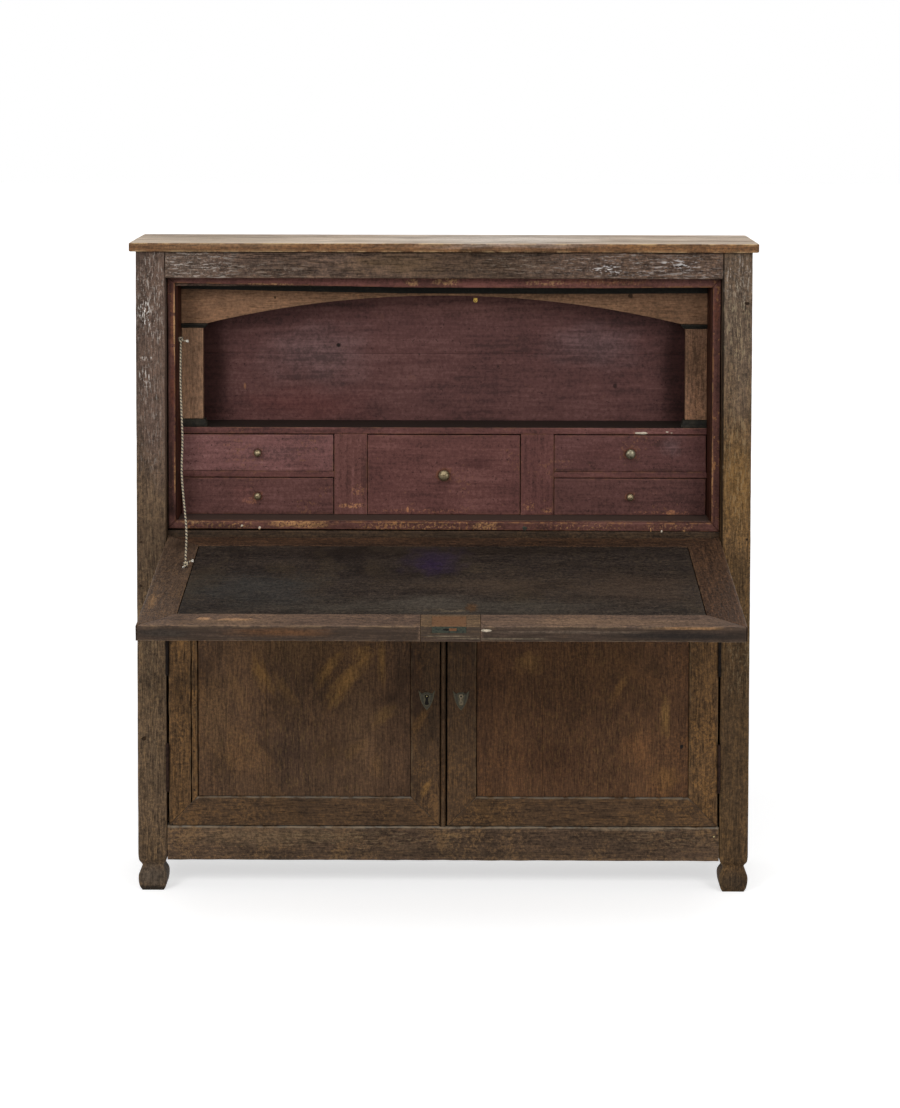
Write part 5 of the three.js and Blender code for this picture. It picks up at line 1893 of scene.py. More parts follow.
        # Centre x and z, reach in x and z, colour, strength, softness, unevenness, fine cells, gate
        places = {
            "bottom": [
                (-0.4, 0.758, 0.18, 0.02, "603f38", 0.6, 0.8),
                (-0.295, 0.7615, 0.08, 0.012, tan, 0.9, 0.5, 0.6, 200, 0.47),
                (-0.515, 0.765, 0.03, 0.008, pale, 0.7, 0.5, 0.6, 200, 0.52),
                (-0.44, 0.758, 0.07, 0.01, tan, 0.8, 0.5, 0.6, 200, 0.56),
                (0.086, 0.757, 0.034, 0.012, tan, 0.8, 0.5, 0.6, 200, 0.49),
                (-0.06, 0.757, 0.14, 0.012, tan, 0.7, 0.5, 0.6, 200, 0.56),
                (0.47, 0.756, 0.07, 0.008, tan, 0.5, 0.5, 0.6, 200, 0.56),
                (0.28, 0.756, 0.14, 0.01, tan, 0.6, 0.5, 0.6, 200, 0.59),
                (-0.05, 0.7668, 0.3, 0.0014, tan, 0.5, 0.5, 0.6, 120, 0.5),
            ],
            "top": [
                (0.0, 1.262, 0.6, 0.03, "66403a", 0.7, 0.6),
                (-0.36, 1.256, 0.08, 0.003, pale, 0.6, 0.5, 0.6, 120, 0.5),
                (0.005, 1.262, 0.034, 0.01, pale, 0.75, 0.5, 0.6, 170, 0.5),
                (-0.065, 1.26, 0.016, 0.01, pale, 0.7, 0.5, 0.6, 170, 0.48),
                (0.34, 1.263, 0.12, 0.009, "7a5038", 0.5, 0.7, 0.6, 120, 0.48),
                (0.34, 1.26, 0.1, 0.008, pale, 0.4, 0.5, 0.6, 190, 0.58),
                (0.21, 1.26, 0.06, 0.007, pale, 0.55, 0.5, 0.6, 120, 0.52),
                (-0.27, 1.27, 0.05, 0.002, tan, 0.5, 0.5, 0.6, 150, 0.5),
            ],
            "left": [
                (-0.559, 1.17, 0.006, 0.09, "6f4733", 0.7, 0.6, 0.6, 60, 0.46),
                (-0.559, 1.04, 0.006, 0.06, "633a2c", 0.7, 0.6, 0.6, 60, 0.46),
                (-0.5545, 1.17, 0.002, 0.09, pale, 0.9, 0.4, 0.5, 60, 0.44),
                (-0.5545, 0.86, 0.0018, 0.05, tan, 0.8, 0.4, 0.5, 60, 0.46),
                (-0.569, 1.0, 0.0042, 0.4, gap_shade_and_dirt, 0.95, 0.5, 0.5),
                (-0.56, 0.79, 0.012, 0.02, gap_shade_and_dirt, 0.6, 0.5, 0.5),
            ],
            "right": [
                (0.56, 1.2, 0.008, 0.05, "6b3f2e", 0.6, 0.6, 0.6, 60, 0.46),
                (0.553, 0.86, 0.0022, 0.1, tan, 0.6, 0.4, 0.5, 60, 0.46),
                (0.5525, 1.045, 0.002, 0.012, tan, 0.9, 0.4, 0.5),
                (0.569, 1.0, 0.0026, 0.4, gap_shade_and_dirt, 0.95, 0.5, 0.5),
            ],
        }
        worn = on_face(y, 0.012, *places[name])
        if name in ("bottom", "top"):
            return worn
        inner = self.opening_x[name == "right"]
        # Painted shade on each side strip's inner flank
        return worn + on_face(y + 0.0105, 0.0085, (inner, 1.0, 0.0024, 0.6, "1f0e0a", 0.95, 0.25, 0.05))

    def make(self) -> None:
        """Build every carcass piece."""
        self.marks()
        self.top_board()
        for name in ("left", "right"):
            self.post(name)
            self.side(name)
            dress(f"flap_pivot_{name}", RUST)
        self.rails()
        self.inside()


@dataclass
class Knob:
    """A turned brass knob: a rosette, a waisted neck and a flattened ball with a fine centre ring."""

    diameter: float
    length: float
    finish: Finish = BRASS

    def make(self, name: str, place: Triple, body: str) -> None:
        """Turn the knob and set it on its drawer.

        Radius along the length: a foot of 0.36 D, a neck of 0.2 D, and the head's ellipse
        0.5 D sqrt(1 - t^2).

        Args:
            name: the drawer's name.
            place: the middle of the drawer's front.
            body: the drawer's body.
        """
        head = self.diameter / 2
        t = np.linspace(-0.9, 0.985, 15)
        start, half = 0.34 * self.length, 0.33 * self.length
        ball = np.stack([start + half * (1 + t), head * np.sqrt(1 - t**2)], 1)
        foot = np.array([[0, 0.7], [0.06, 0.72], [0.12, 0.66], [0.16, 0.46], [0.24, 0.38], [0.33, 0.4]])
        foot = foot * (self.length, head)
        tip = np.array([[self.length * 0.999, head * 0.08]])
        skin = turned(np.vstack([foot, ball[1:], tip]), place, 28)
        build(f"knob_{name}_turned", skin, self.finish, body, [f"knob_{name}"], crease=60)


@dataclass
class Gallery:
    """Shelf, drawers, dividers, pilasters and arch inside the writing compartment."""

    arris: float = 0.0009
    front_thickness: float = 0.012
    divider_face: float = 0.012
    divider_wall: float = 0.008
    wall: float = 0.007
    bottom: float = 0.006
    wall_drop: float = 0.008
    gap: float = 0.0009
    arch_rise: float = 0.05906
    cornice_depth: float = 0.003
    deepest_step: float = 0.005
    cornice_low: tuple[Pair, ...] = (
        (-0.519, 1.2388), (-0.405, 1.2362), (-0.259, 1.2334), (-0.092, 1.2306), (0.158, 1.2301),
        (0.324, 1.2304), (0.511, 1.2318),
    )

    def shelf(self) -> None:
        """The shelf, the runners between drawers and the divider boxes."""
        rebuild("gallery_shelf", "gallery_shelf_painted", ALONG_X, RED_SHELF, 0.0012, "shelf")
        chips = [
            (0.4123, 0.9391, 0.0125, 0.0027),
            (0.466, 0.9415, 0.0035, 0.0014),
            (0.475, 0.9395, 0.0022, 0.001),
        ]
        edge = node_span("gallery_shelf")[1][0]
        build("shelf_chips", blots("chips", chips, edge + 0.0002, 0.0006), FILLER, "carcass")
        face, wall = self.divider_face, self.divider_wall
        for name, finish in (("left", RED_LEFT_DIVIDER), ("right", RED_RIGHT_DIVIDER)):
            node = f"drawer_runner_{name}"
            rebuild(node, f"{node}_painted", ALONG_X, RED, self.arris, f"runner_{name}")
            node = f"gallery_divider_{name}"
            x, y, z = node_span(node)
            front = board(node, x, (y[0], y[0] + face), z, ALONG_Z, self.arris)
            walls = [
                board(f"{node}_{i}", span, (y[0] + face, y[1]), z, ALONG_Y, self.arris)
                for i, span in enumerate(((x[0], x[0] + wall), (x[1] - wall, x[1])))
            ]
            build(f"{node}_painted", joined([front, *walls]), finish, "carcass", [node])

    def pilasters(self) -> None:
        """Pale pilasters between black moulded bases and capitals, and the arch they carry."""
        for name, side, tone in (("left", -1, PILASTER_LEFT), ("right", 1, PILASTER_RIGHT)):
            rebuild(f"pilaster_{name}", f"pilaster_{name}_pale", ALONG_Z, tone, 0.001)
            self.moulding(f"pilaster_base_{name}", side, (0, 0), (0.35, 0), (0.5, 0.45), (1, 0.9))
            self.moulding(f"pilaster_capital_{name}", side, (0, 0.9), (0.45, 0.75), (0.55, 0), (1, 0))
        x, y, z = node_span("arch_board")
        half = -node_span("pilaster_capital_left")[0][1]
        low, rise = z[0], self.arch_rise
        radius = (half * half + rise * rise) / (2 * rise)
        along = np.linspace(half, -half, 41)[::-1]
        curve = [(a, low + rise - radius + math.sqrt(radius * radius - a * a)) for a in along]
        corners = [(x[0], z[1]), (x[0], low), *curve, (x[1], low), (x[1], z[1])]
        outline = Outline(corners, arris=0.0008, rounding=0.0, spacing=0.03)
        skin = Slab("arch", outline, y, Plane.XZ, ALONG_X, ragged=0.0).skin()
        build("arch_board_pale", skin, OAK_PALE, "carcass", ["arch_board"])
        # A thin black moulding across the top of the arch's face. Its lower edge follows the dark band
        # measured under the top strip, so it is also painted shade there.
        lower = [(x[0], self.cornice_low[0][1]), *self.cornice_low, (x[1], self.cornice_low[-1][1])]
        corners = [(x[1], z[1]), (x[0], z[1]), *lower]
        outline = Outline(corners, arris=0.0006, rounding=0.0, spacing=0.05)
        level = (y[0] - self.cornice_depth, y[0])
        skin = Slab("cornice", outline, level, Plane.XZ, ALONG_X, ragged=0.0).skin()
        build("arch_cornice", skin, BLACK, "carcass")

    def moulding(self, node: str, side: int, *profile: Pair) -> None:
        """A base or capital: a profile of (height share, set-back share) carried round two faces.

        Args:
            node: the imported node, which gives the overall size.
            side: -1 for left and 1 for right.
            profile: steps from the bottom to the top.
        """
        x, y, z = node_span(node)
        rows = []
        for share, back in profile:
            draw = self.deepest_step * back
            front = (x[0], x[1] - draw) if side < 0 else (x[0] + draw, x[1])
            level = z[0] + share * (z[1] - z[0])
            rows.append([(*corner, level) for corner in rectangle(front, (y[0] + draw, y[1]))])
        points = np.array(rows).reshape(-1, 3)
        wood = grain_places(points, ALONG_X, node)
        skin = Skin(points, band_faces(len(profile), 4), np.full(len(points), 0.3), wood)
        piece = build(f"{node}_moulded", skin, BLACK, "carcass", [node])
        bevel = piece.modifiers.new("arris", "BEVEL")
        bevel.width, bevel.segments, bevel.limit_method = 0.0006, 2, "ANGLE"

    def drawer(self, name: str, knob: Knob) -> None:
        """A painted front with its box of thin pale boards behind it, and its knob.

        Args:
            name: the drawer's name.
            knob: its knob.
        """
        node = f"drawer_{name}"
        body = f"{node}_body"
        x, y, z = node_span(node)
        face, wall = y[0] + self.front_thickness, self.wall
        wide, tall = (x[0], x[1] - self.gap), (z[0], z[1] - self.gap)
        front = board(node, wide, (y[0], face), tall, ALONG_X, arris=0.0008, wear=0.6, ragged=0.0003)
        middle, size = (sum(x) / 2, y[0], sum(z) / 2), knob.diameter
        halo = Patch(middle, (size * 0.9, 0.01, size * 0.75), "8a5a3c", 0.5, 0.6, 0.7)
        # A dark ring round the knob's foot is painted shadow
        ring = Patch(middle, (size * 0.72, 0.01, size * 0.72), "2a1512", 0.7, 0.4, 0.1)
        marks = (*on_face(y[0], 0.01, *DRAWER_MARKS.get(name, ())), halo, ring)
        tone = DRAWER_TONES.get(name, RED.tone)
        finish = replace(RED, name=f"red_paint_{name}", tone=tone, patches=marks)
        build(f"{node}_front", front, finish, body, [node])
        deep, inner, high = (face, y[1]), (x[0] + wall, x[1] - wall), (z[0], z[1] - self.wall_drop)
        boards = (
            ("a", (x[0], x[0] + wall), deep, high, ALONG_Y),
            ("b", (x[1] - wall, x[1]), deep, high, ALONG_Y),
            ("c", inner, (y[1] - wall, y[1]), high, ALONG_X),
            ("d", inner, (face, y[1] - wall), (z[0], z[0] + self.bottom), ALONG_X),
        )
        box = joined([board(f"{node}_{mark}", *rest, self.arris) for mark, *rest in boards])
        build(f"{node}_box", box, DRAWER_WOOD, body)
        knob.make(name, middle, body)

    def catch(self) -> None:
        """The small brass staple that hangs from the crown of the arch."""
        x, z = 0.065, 1.2175
        y = node_span("arch_board")[1][0]
        t = np.linspace(-0.4, math.pi + 0.4, 15)
        low = z - 0.001
        loop = np.stack([x + 0.0034 * np.cos(t), np.full_like(t, y - 0.0035), low - 0.0036 * np.sin(t)], 1)
        wide = (x - 0.0038, x + 0.0038)
        plate = board("catch_plate", wide, (y - 0.0014, y), (low, z + 0.0036), ALONG_X, 0.0004)
        pin = turned(np.array([[0, 0.0014], [0.0042, 0.0014], [0.0046, 0.0004]]), (x, y, low), 10)
        build("arch_catch", tube(loop, np.full(15, 0.001), 8) + plate + pin, CATCH_BRASS, "carcass")

    def make(self) -> None:
        """Build every piece of the gallery."""
        self.shelf()
        self.pilasters()
        self.catch()
        plain, bright = Knob(0.0148, 0.015), Knob(0.0205, 0.017, BRASS_GREY)
        knobs = {
            "upper_left": plain, "lower_left": plain, "centre": Knob(0.023, 0.021), "upper_right": bright,
            "lower_right": plain,
        }
        for name, knob in knobs.items():
            self.drawer(name, knob)


@dataclass
class Flap:
    """The let-down front: four mitred members, a dark panel, a lock and the patch that holds it.

    It is drawn closed about its pivot line, with X along it, Y through it and Z up it, and then
    turned open.
    """

    half_width: float = 0.5685
    half_thickness: float = 0.015
    foot: float = -0.015
    head: float = 0.549
    member: float = 0.07
    hinge_arris: float = 0.0148
    arris: float = 0.0022
    free_arris: float = 0.0032
    inner_arris: float = 0.001
    crack: float = 0.0008
    open_degrees: float = 96.95
    panel_recess: float = 0.0008
    panel_thickness: float = 0.014
    board_thickness: float = 0.008
    tongue: float = 0.006
    lock_x: Pair = (-0.018, 0.046)
    lock_foot: float = 0.491
    lock_depth: float = 0.013
    patch_x: Pair = (-0.039, 0.0725)
    patch_depth: float = 0.02

    def thick(self) -> Pair:
        """Give the frame's span through its thickness."""
        return -self.half_thickness, self.half_thickness

    def turn(self) -> Matrix:
        """Turn the closed flap open about its pivot.

        Returns:
            The matrix from the closed flap's own places to the row frame.
        """
        pin = node_span("flap_pivot_left")
        place = Matrix.Translation((0, sum(pin[1]) / 2, sum(pin[2]) / 2))
        return place @ Matrix.Rotation(math.radians(self.open_degrees), 4, "X")

    def spot_at(self, x: float, up: float, through: float | None = None) -> Triple:
        """Find the place, with the flap open, of a point given on the closed flap."""
        through = self.half_thickness if through is None else through
        return tuple(self.turn() @ Vector((x, through, up)))

    def marked(self, *rows: tuple) -> tuple[Patch, ...]:
        """Lay patches at places of the closed flap: a row is (x, up) or (x, up, through) and the rest."""
        return tuple(Patch(self.spot_at(*at), *rest) for at, *rest in rows)

    def add(self, name: str, skin: Skin, finish: Finish, stands_for: Sequence[str] = ()) -> None:
        """Turn a surface open and set it on the flap."""
        build(name, skin.moved(self.turn()), finish, "flap", stands_for)

    def finishes(self) -> dict[str, Wood]:
        """Give each member its finish, with the wear that its place has.

        Returns:
            The finishes by the member's name.
        """
        edge = self.head
        worn, dusk, scuff = "8b6a49", "553a26", "a5805f"
        front = self.marked(
            ((-0.445, 0.508), (0.016, 0.012, 0.004), scuff, 0.85, 0.5, 0.7),
            ((-0.385, 0.513), (0.042, 0.01, 0.004), scuff, 0.85, 0.5, 0.8),
            ((-0.4, 0.525), (0.13, 0.024, 0.01), "77604c", 0.6, 0.8, 0.5),
            ((0.3, 0.52), (0.32, 0.03, 0.01), "7d6551", 0.7, 0.9, 0.4),
            ((-0.3, edge, 0.002), (0.14, 0.008, 0.013), dusk, 0.8, 0.8, 0.5),
            ((-0.52, edge, 0.0), (0.08, 0.008, 0.012), "322c27", 0.8, 0.7, 0.4),
            ((0.25, edge, 0.004), (0.2, 0.008, 0.004), "5d5044", 0.6, 0.6, 0.7),
            ((0.1, edge, -0.009), (0.14, 0.008, 0.0025), "6d6150", 0.7, 0.6, 0.8),
            ((0.46, edge, 0.012), (0.09, 0.006, 0.004), "8c6a4a", 0.7, 0.6, 0.6),
            ((0.0832, edge, 0.0072), (0.0112, 0.012, 0.0028), "a59987", 1.0, 0.25, 0.2),
            ((0.0785, edge, 0.0076), (0.005, 0.012, 0.003), "a59987", 1.0, 0.25, 0.2),
            ((0.44, edge, -0.003), (0.2, 0.008, 0.014), "201c1a", 0.8, 0.8, 0.5),
        )
        left = self.marked(
            ((-0.553, 0.4), (0.012, 0.07, 0.02), worn, 0.6, 0.8, 0.6),
            ((-0.53, 0.05), (0.04, 0.05, 0.03), "33261c", 0.7, 0.8, 0.4),
        )
        return {
            "hinge_member": OAK_HINGE_SHADED,
            "top_member": replace(OAK_FLAP, name="flap_free_edge_oak", patches=front),
            "left_member": replace(OAK_FLAP, name="flap_left_oak", tone="554336", patches=left),
            "right_member": replace(OAK_FLAP, name="flap_right_oak", tone="463327", swing=0.5),
        }

    def members(self) -> None:
        """The mitred frame: round below where it turns, worn and knocked along the free edge."""
        bars = mitres((-self.half_width, self.half_width), (self.foot, self.head), self.member)
        finishes = self.finishes()
        for side, name, outer in (
            ("bottom", "hinge_member", self.hinge_arris),
            ("west", "left_member", self.arris),
            ("east", "right_member", self.arris),
        ):
            arris = (outer, KEEN, self.inner_arris, KEEN)
            skin = mitred_bar(
                f"flap_{name}", bars[side], self.thick(), side == "bottom", arris,
                wear=0.55, ragged=0.0004, spacing=0.016,
            )
            self.add(f"flap_{name}_worn", skin, finishes[name], [f"flap_{name}"])
        self.free_member(finishes["top_member"])

    def free_member(self, finish: Wood) -> None:
        """The member along the free edge, in two lengths with the lock's patch let in between.

        Args:
            finish: its wood.
        """
        half, high, width = self.half_width, self.head, self.member
        low, inner = high - width, half - width
        a, b = self.patch_x
        crack = self.crack
        left = [(a - crack, high), (PLAY - half, high), (PLAY - inner, low), (a - crack, low)]
        right = [(half - PLAY, high), (b + crack, high), (b + crack, low), (inner - PLAY, low)]
        parts = []
        for name, corners, rounding in (
            ("left", left, (0.0, 0.004, 0.0, 0.0)),
            ("right", right, (0.005, 0.0, 0.0, 0.0)),
        ):
            arris = (self.free_arris, KEEN, self.inner_arris, KEEN)
            outline = Outline(corners, arris, rounding, spacing=0.011)
            slab = Slab(
                f"flap_free_{name}", outline, self.thick(), Plane.XZ, ALONG_X, wear=0.6, ragged=0.0016
            )
            parts.append(slab.skin())
        step = self.half_thickness - self.patch_depth
        behind = (-self.half_thickness, step - PLAY)
        rise = (low, high - self.crack)
        back = board("flap_free_back", (a, b), behind, rise, ALONG_X, arris=0.0006, wear=0.5, ragged=0.0008)
        parts.append(back)
        self.add("flap_free_member_worn", joined(parts), finish, ["flap_top_member"])
        worn = self.marked(((0.016, high, step + 0.001), (0.058, 0.005, 0.001), "8d7f69", 0.7, 0.4, 0.7))
        # The patch's front tone is painted shade on its forward face
        finish = replace(finish, name="lock_patch_oak", tone="62503f", front="39302a", patches=worn)
        self.add("flap_lock_patch", self.patch_boards(step), finish)

    def patch_boards(self, step: float) -> Skin:
        """The lock's patch: a cheek on each side of the plate, a bridge behind it and a board below.

        Args:
            step: how far through the flap the patch reaches.

        Returns:
            The four boards.
        """
        x0, x1 = self.lock_x[0] - HAIR, self.lock_x[1] + HAIR
        a, b = self.patch_x
        deep = self.half_thickness - self.lock_depth - HAIR
        low, high = self.head - self.member + 0.001, self.head - 0.0004
        level, rise = (deep, self.half_thickness - 0.0004), (low, high)
        boards = (
            ("west", (a, x0), level, rise, 0.0002),
            ("east", (x1, b), level, rise, 0.0002),
            ("bridge", (x0, x1), level, (low, self.lock_foot - HAIR), 0.0002),
            ("low", (a, b), (step, deep), (low, high - 0.0002), 0.0004),
        )
        return joined([
            board(f"lock_patch_{name}", *spans, ALONG_X, arris) for name, *spans, arris in boards
        ])

    def lock(self) -> None:
        """The rusty plate and the strip on the free edge with its slot and bolt."""
        low, high, top = self.lock_foot, self.head, self.half_thickness
        deep = top - self.lock_depth
        thin, tip = (high - 0.0014, high - 0.0005), (high - 0.003, high - 0.0001)
        for name, look, x, y, z, arris, finish, stands_for in (
            ("plate", "rusty", self.lock_x, (deep, top), (low, high - 0.0016), 0.0005, PLATE, ["flap_lock"]),
            ("strip", "dark", self.lock_x, (deep, top - 0.0006), thin, 0.0003, STEEL, ()),
            ("bolt", "end", (0.0143, 0.0279), (0.0062, 0.0114), tip, 0.0004, BOLT, ()),
        ):
            skin = board(f"lock_{name}", x, y, z, ALONG_X, arris)
            self.add(f"lock_{name}_{look}", skin, finish, stands_for)
        edge = Matrix.Rotation(math.radians(-90), 4, "X")
        # The bolt's slot is a dark blot: painted shade
        slot = blots("lock_slot", [(0.0085, 0.0088, 0.0062, 0.002)], -(high - 0.0004), 0.0002)
        self.add("lock_bolt_slot", slot.moved(edge), HOLE_SHADE_AND_DARK_MARKS)

    def panel(self) -> None:
        """The dark writing board, a hair below the frame, stained with ink and dusty at its rim."""
        half = self.half_width - self.member - 0.0016
        span = (self.foot + self.member + 0.001, self.head - self.member - 0.001)
        face = self.half_thickness - self.panel_recess
        middle = face - self.board_thickness
        skin = board("flap_panel", (-half, half), (middle, face), span, ALONG_X, 0.0006)
        # The lower layer runs on into the members' grooves and is plain brown oak on the outside
        wide = (-half - self.tongue, half + self.tongue)
        deep = (span[0] - self.tongue, span[1] + self.tongue)
        outside = board("flap_outside", wide, (face - self.panel_thickness, middle), deep, ALONG_X, 0.0006)
        self.add("flap_panel_outside", outside, OAK_OUTSIDE)
        patches = self.marked(
            ((0.0, 0.085), (0.52, 0.05, 0.05), "241d17", 0.6, 0.9),
            ((0.0, 0.43), (0.52, 0.07, 0.05), "4a443c", 0.6, 0.9, 0.6),
            ((0.38, 0.3), (0.18, 0.16, 0.05), "41342a", 0.5, 0.9, 0.7),
            # Painted sheen: blue-grey on the left of the board
            ((-0.36, 0.32), (0.2, 0.15, 0.05), "353634", 0.5, 0.9, 0.6),
            ((-0.06, 0.24), (0.16, 0.05, 0.05), "1f1b18", 0.55, 0.9, 0.9),
            ((-0.2, 0.12), (0.1, 0.05, 0.05), "1b1714", 0.55, 0.9, 0.9),
            ((0.1, 0.3), (0.2, 0.06, 0.05), "3f342a", 0.5, 0.9, 0.9),
            ((-0.02, 0.4), (0.1, 0.05, 0.05), "524b43", 0.5, 0.9, 0.8),
            ((-0.4, 0.44), (0.12, 0.02, 0.05), "1f1d1b", 0.5, 0.9, 0.8),
            ((-0.017, 0.14), (0.085, 0.13, 0.05), "2b2333", 0.75, 0.9, 0.7),
            ((-0.022, 0.18), (0.04, 0.07, 0.05), "281d35", 0.75, 0.9, 0.7),
            ((0.01, 0.455), (0.08, 0.012, 0.02), "6b5d4c", 0.55, 0.7, 0.6, 60, 0.5),
            ((0.056, 0.437), (0.015, 0.03, 0.02), "523b28", 0.8, 0.6, 0.6),
            ((0.36, 0.43), (0.1, 0.04, 0.05), "1d1916", 0.5, 0.6, 0.6, 60, 0.54),
        )
        flecks = self.marked(
            ((0.15, 0.27), (0.4, 0.24, 0.05), "5b4b3b", 0.3, 0.9, 0.7),
            ((-0.35, 0.3), (0.2, 0.24, 0.05), "4c4b47", 0.25, 0.9, 0.7),
        )
        finish = replace(BOARD_FLAP, name="flap_writing_board_inked", patches=patches, flecks=flecks)
        self.add("flap_panel_board", skin, finish, ["flap_panel"])

    def make(self) -> None:
        """Build the flap."""
        self.members()
        self.panel()
        self.lock()


@dataclass
class Escutcheon:
    """A shield with two horns and a keyhole through it, domed a little and bevelled at its rim.

    Round it runs u, from the middle of the top. Rings go from the keyhole's back and front out
    to the rim's front and back, each a straight blend of the keyhole's loop and the shield's.
    """

    half_shield: tuple[Pair, ...] = (
        (0, 15.8), (4, 16.2), (8, 13.2), (12, 14.2), (17.6, 20.2), (15.9, 14.5), (15.4, 10.5), (13.8, 2.5),
        (10.4, -6.5), (5.6, -15.0), (0, -22.0),
    )
    half_keyhole: tuple[Pair, ...] = (
        (0, 11.2), (3.2, 10.2), (4.6, 7.2), (3.6, 4.4), (2.3, 2.6), (2.7, -2.0), (4.6, -8.4),
        (3.4, -10.2), (0, -10.8),
    )
    thickness: float = 0.0014
    samples: int = 72
    shift: tuple[tuple[str, Pair], ...] = (("left", (0.003, 0.0012)), ("right", (-0.0018, 0.0012)))

    def loop(self, half: tuple[Pair, ...]) -> np.ndarray:
        """Mirror a half outline and space it evenly.

        Args:
            half: its points in millimetres, from the middle of the top to that of the foot.

        Returns:
            Points all the way round, in metres.
        """
        right = np.array(half)
        whole = np.vstack([right, (right * (-1, 1))[-2:0:-1], right[:1]]) * MM
        run = run_along(whole)
        even = np.linspace(0, run[-1], self.samples, endpoint=False)
        return np.stack([np.interp(even, run, whole[:, i]) for i in range(2)], 1)

    def make(self, name: str, behind: float) -> None:
        """Build one escutcheon and what shows in its keyhole.

        Args:
            name: left or right.
            behind: the door's face.
        """
        node, body = f"door_{name}_escutcheon", f"door_{name}"
        x, _, z = node_span(node)
        dx, dz = dict(self.shift)[name]
        cx, cz = sum(x) / 2 + dx, sum(z) / 2 + dz
        hole, shield = self.loop(self.half_keyhole), self.loop(self.half_shield)
        spread = (0.0, 0.04, 0.5, 0.95, 1.0, 1.0)
        rise = np.array((0.0, 0.8, 1.0, 0.8, 0.45, 0.0)) * self.thickness
        flat = np.array([hole * (1 - s) + shield * s for s in spread])
        points = np.empty((len(spread), self.samples, 3))
        points[..., 0], points[..., 2] = flat[..., 0] + cx, flat[..., 1] + cz
        points[..., 1] = behind - rise[:, None]
        i, j = np.meshgrid(np.arange(len(spread)), np.arange(self.samples), indexing="ij")
        k, up = (j + 1) % self.samples, (i + 1) % len(spread)
        n = self.samples
        faces = np.stack([i * n + j, i * n + k, up * n + k, up * n + j], -1).reshape(-1, 4)
        edge = np.repeat([0.0, 0.9, 0.0, 0.6, 1.0, 0.0], n)
        places = points.reshape(-1, 3)
        skin = Skin(places, faces[:, ::-1].tolist(), edge, places.copy())
        build(f"{node}_shield", skin, BRONZE, body, [node], crease=30)
        # The left keyhole shows a dark board behind the shield: painted shade
        dark = HOLE_SHADE_AND_DARK_MARKS if name == "left" else BARE_KEYHOLE
        wide, tall = (cx - 0.0056, cx + 0.0056), (cz - 0.0116, cz + 0.0124)
        back = board(f"{node}_hole", wide, (behind - 0.0003, behind + 0.0004), tall, ALONG_Z, 0.0001)
        build(f"door_{name}_keyhole", back, dark, body)
        size = 1.0 if name == "left" else 1.7
        profile = np.array([[0, 0.0011], [0.0009, 0.0011], [0.0012, 0.0006]]) * (1, size)
        pin = turned(profile, (cx, behind, cz + 0.0074), 10)
        build(f"door_{name}_key_pin", pin, BRASS_BRIGHT if name == "left" else HOLE_SHADE_AND_DARK_MARKS, body)


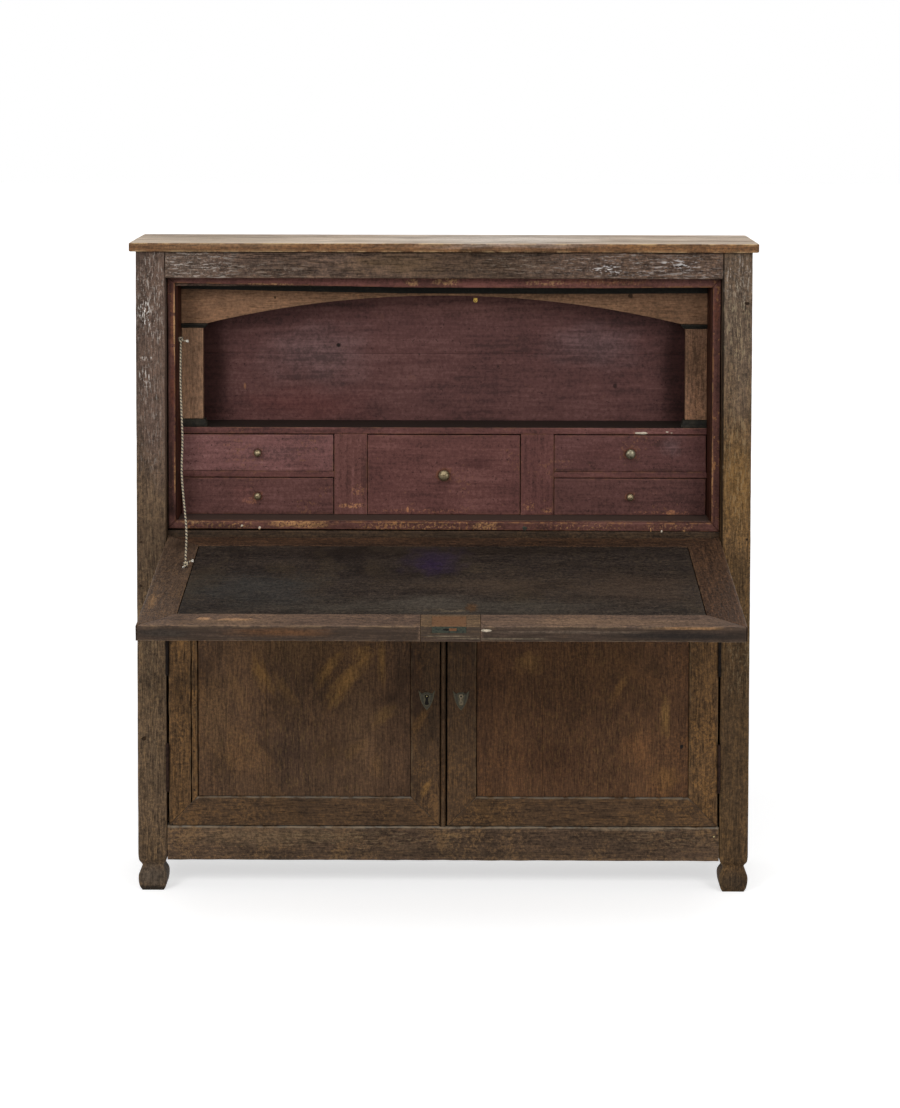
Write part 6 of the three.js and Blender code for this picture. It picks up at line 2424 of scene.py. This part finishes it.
@dataclass
class Doors:
    """Two framed cupboard doors with jointed panels, escutcheons, a meeting bead and hinges."""

    member: float = 0.06
    panel_recess: float = 0.004
    panel_thickness: float = 0.012
    outer_arris: float = 0.0014
    inner_arris: float = 0.0036
    crack: float = 0.0463
    crack_gap: float = 0.0009
    joint_gap: float = 0.000135
    joints: tuple[tuple[str, tuple[float, ...]], ...] = (("left", (-0.3647, -0.14)), ("right", (0.205,)))

    def frame_bars(self, name: str) -> None:
        """Four mitred members with a rounded inner arris; the left outer one has split.

        Args:
            name: left or right.
        """
        node = f"door_{name}_frame"
        x, y, z = node_span(node)
        sides, arris = mitres(x, z, self.member), (self.outer_arris, KEEN, self.inner_arris, KEEN)
        bars = {side: (sides[side], arris) for side in ("bottom", "top", "west", "east")}
        if name == "left":
            # The split: a bar as wide as the crack's place, and a strip from there to the panel
            start = self.crack + self.crack_gap
            bars["west"] = (mitres(x, z, self.crack)["west"], (self.outer_arris, KEEN, 0.0009, KEEN))
            rest = mitres((x[0] + start, x[1]), (z[0] + start, z[1] - start), self.member - start)["west"]
            bars["west_strip"] = (rest, (0.0008, KEEN, 0.0024, KEEN))
        for bar, (corners, arris) in bars.items():
            split = name == "left" and bar.startswith("west")
            outer = split or (name == "right" and bar.startswith("east"))
            lies, ragged = bar in ("bottom", "top"), 0.0016 if split else 0.0004
            skin = mitred_bar(f"{node}_{bar}", corners, y, lies, arris, wear=0.35, ragged=ragged)
            stands = [node] if bar == "bottom" else ()
            finish = OAK_STILE if outer else OAK_DOOR
            build(f"door_{name}_{bar}_member", skin, finish, f"door_{name}", stands)

    def panel(self, name: str, joints: tuple[float, ...]) -> None:
        """The panel's boards, side by side.

        Args:
            name: left or right.
            joints: where one board meets the next.
        """
        x, y, z = node_span(f"door_{name}_frame")
        w, gap = self.member, self.joint_gap
        cuts = [x[0] + w + 0.0012, *joints, x[1] - w - 0.0006]
        face = y[0] + self.panel_recess
        level, tall = (face, face + self.panel_thickness), (z[0] + w + 0.0006, z[1] - w - 0.0006)
        skin = joined([
            board(f"panel_{name}_{i}", (a + gap, b - gap), level, tall, ALONG_Z, 0.0005)
            for i, (a, b) in enumerate(zip(cuts, cuts[1:]))
        ])
        finish = PANEL_LEFT if name == "left" else PANEL_RIGHT
        build(f"door_{name}_panel_boards", skin, finish, f"door_{name}", [f"door_{name}_panel"])

    def make(self) -> None:
        """Build both doors and their fittings."""
        shield = Escutcheon()
        for name, joints in self.joints:
            self.frame_bars(name)
            self.panel(name, joints)
            shield.make(name, node_span(f"door_{name}_frame")[1][0])
        face = node_span("door_left_frame")[1][0]
        nails = [(x, z, 0.0016, 0.0022) for x, z in ((-0.513, 0.417), (-0.5135, 0.292), (-0.5125, 0.212))]
        corner, knot = [(-0.5587, 0.1408, 0.0026, 0.002)], [(0.4914, 0.3042, 0.0042, 0.0062)]
        # The nail holes and the corner hole are dark spots of painted shade; the knot is dark wood
        for piece, seed, spots, level, body in (
            ("door_left_nail_holes", "nails", nails, face + 0.0002, "door_left"),
            ("door_left_corner_hole", "corner", corner, face + 0.0003, "door_left"),
            ("door_right_knot", "knot", knot, face + self.panel_recess + 0.0002, "door_right"),
        ):
            build(piece, blots(seed, spots, level, 0.0004), HOLE_SHADE_AND_DARK_MARKS, body)
        self.astragal()
        for side in ("left", "right"):
            dress(f"door_hinge_{side}_lower", RUST)
            # The upper hinges are near black: painted shade of the doors' gap
            dress(f"door_hinge_{side}_upper", IRON_GAP_SHADE)

    def astragal(self) -> None:
        """The half-round strip over the gap between the doors: half a circle carried up its length.

        A point is (centre + r cos u, y - r sin u, z), with r drawn in a little by the wear.
        """
        x, y, z = node_span("door_left_astragal")
        half, deep = 0.5 * (x[1] - x[0]), y[1] - y[0]
        level = np.linspace(z[0], z[1], 50)
        u = np.linspace(math.pi, 0, 13)
        wear = 0.0003 * (1 + waver(level, seed_of("astragal"), (0.21, 0.07, 0.031)))
        bow = deep - 0.002
        across = np.cos(u) * half + sum(x) / 2
        front = y[1] - 0.002 - np.sin(u) * (bow - wear[:, None])
        flank = np.array([x[1], x[0]])
        points = np.empty((len(level), len(u) + 2, 3))
        points[:, : len(u), 0], points[:, : len(u), 1] = across, front
        points[:, len(u) :, 0], points[:, len(u) :, 1] = flank, y[1]
        points[..., 2] = level[:, None]
        grid = points.reshape(-1, 3)
        edge = np.tile(np.concatenate([np.sin(u) ** 6 * 0.6, [0, 0]]), len(level))
        skin = Skin(grid, band_faces(*points.shape[:2]), edge, grain_places(grid, ALONG_Z, "astragal"))
        build("door_left_astragal_worn", skin, OAK_DOOR, "door_left", ["door_left_astragal"])


def main() -> None:
    """Set up the studio and build the cabinet piece by piece."""
    Studio().set_up()
    StayRope().make()
    Carcass().make()
    Gallery().make()
    Flap().make()
    Doors().make()


if __name__ == "__main__":
    main()
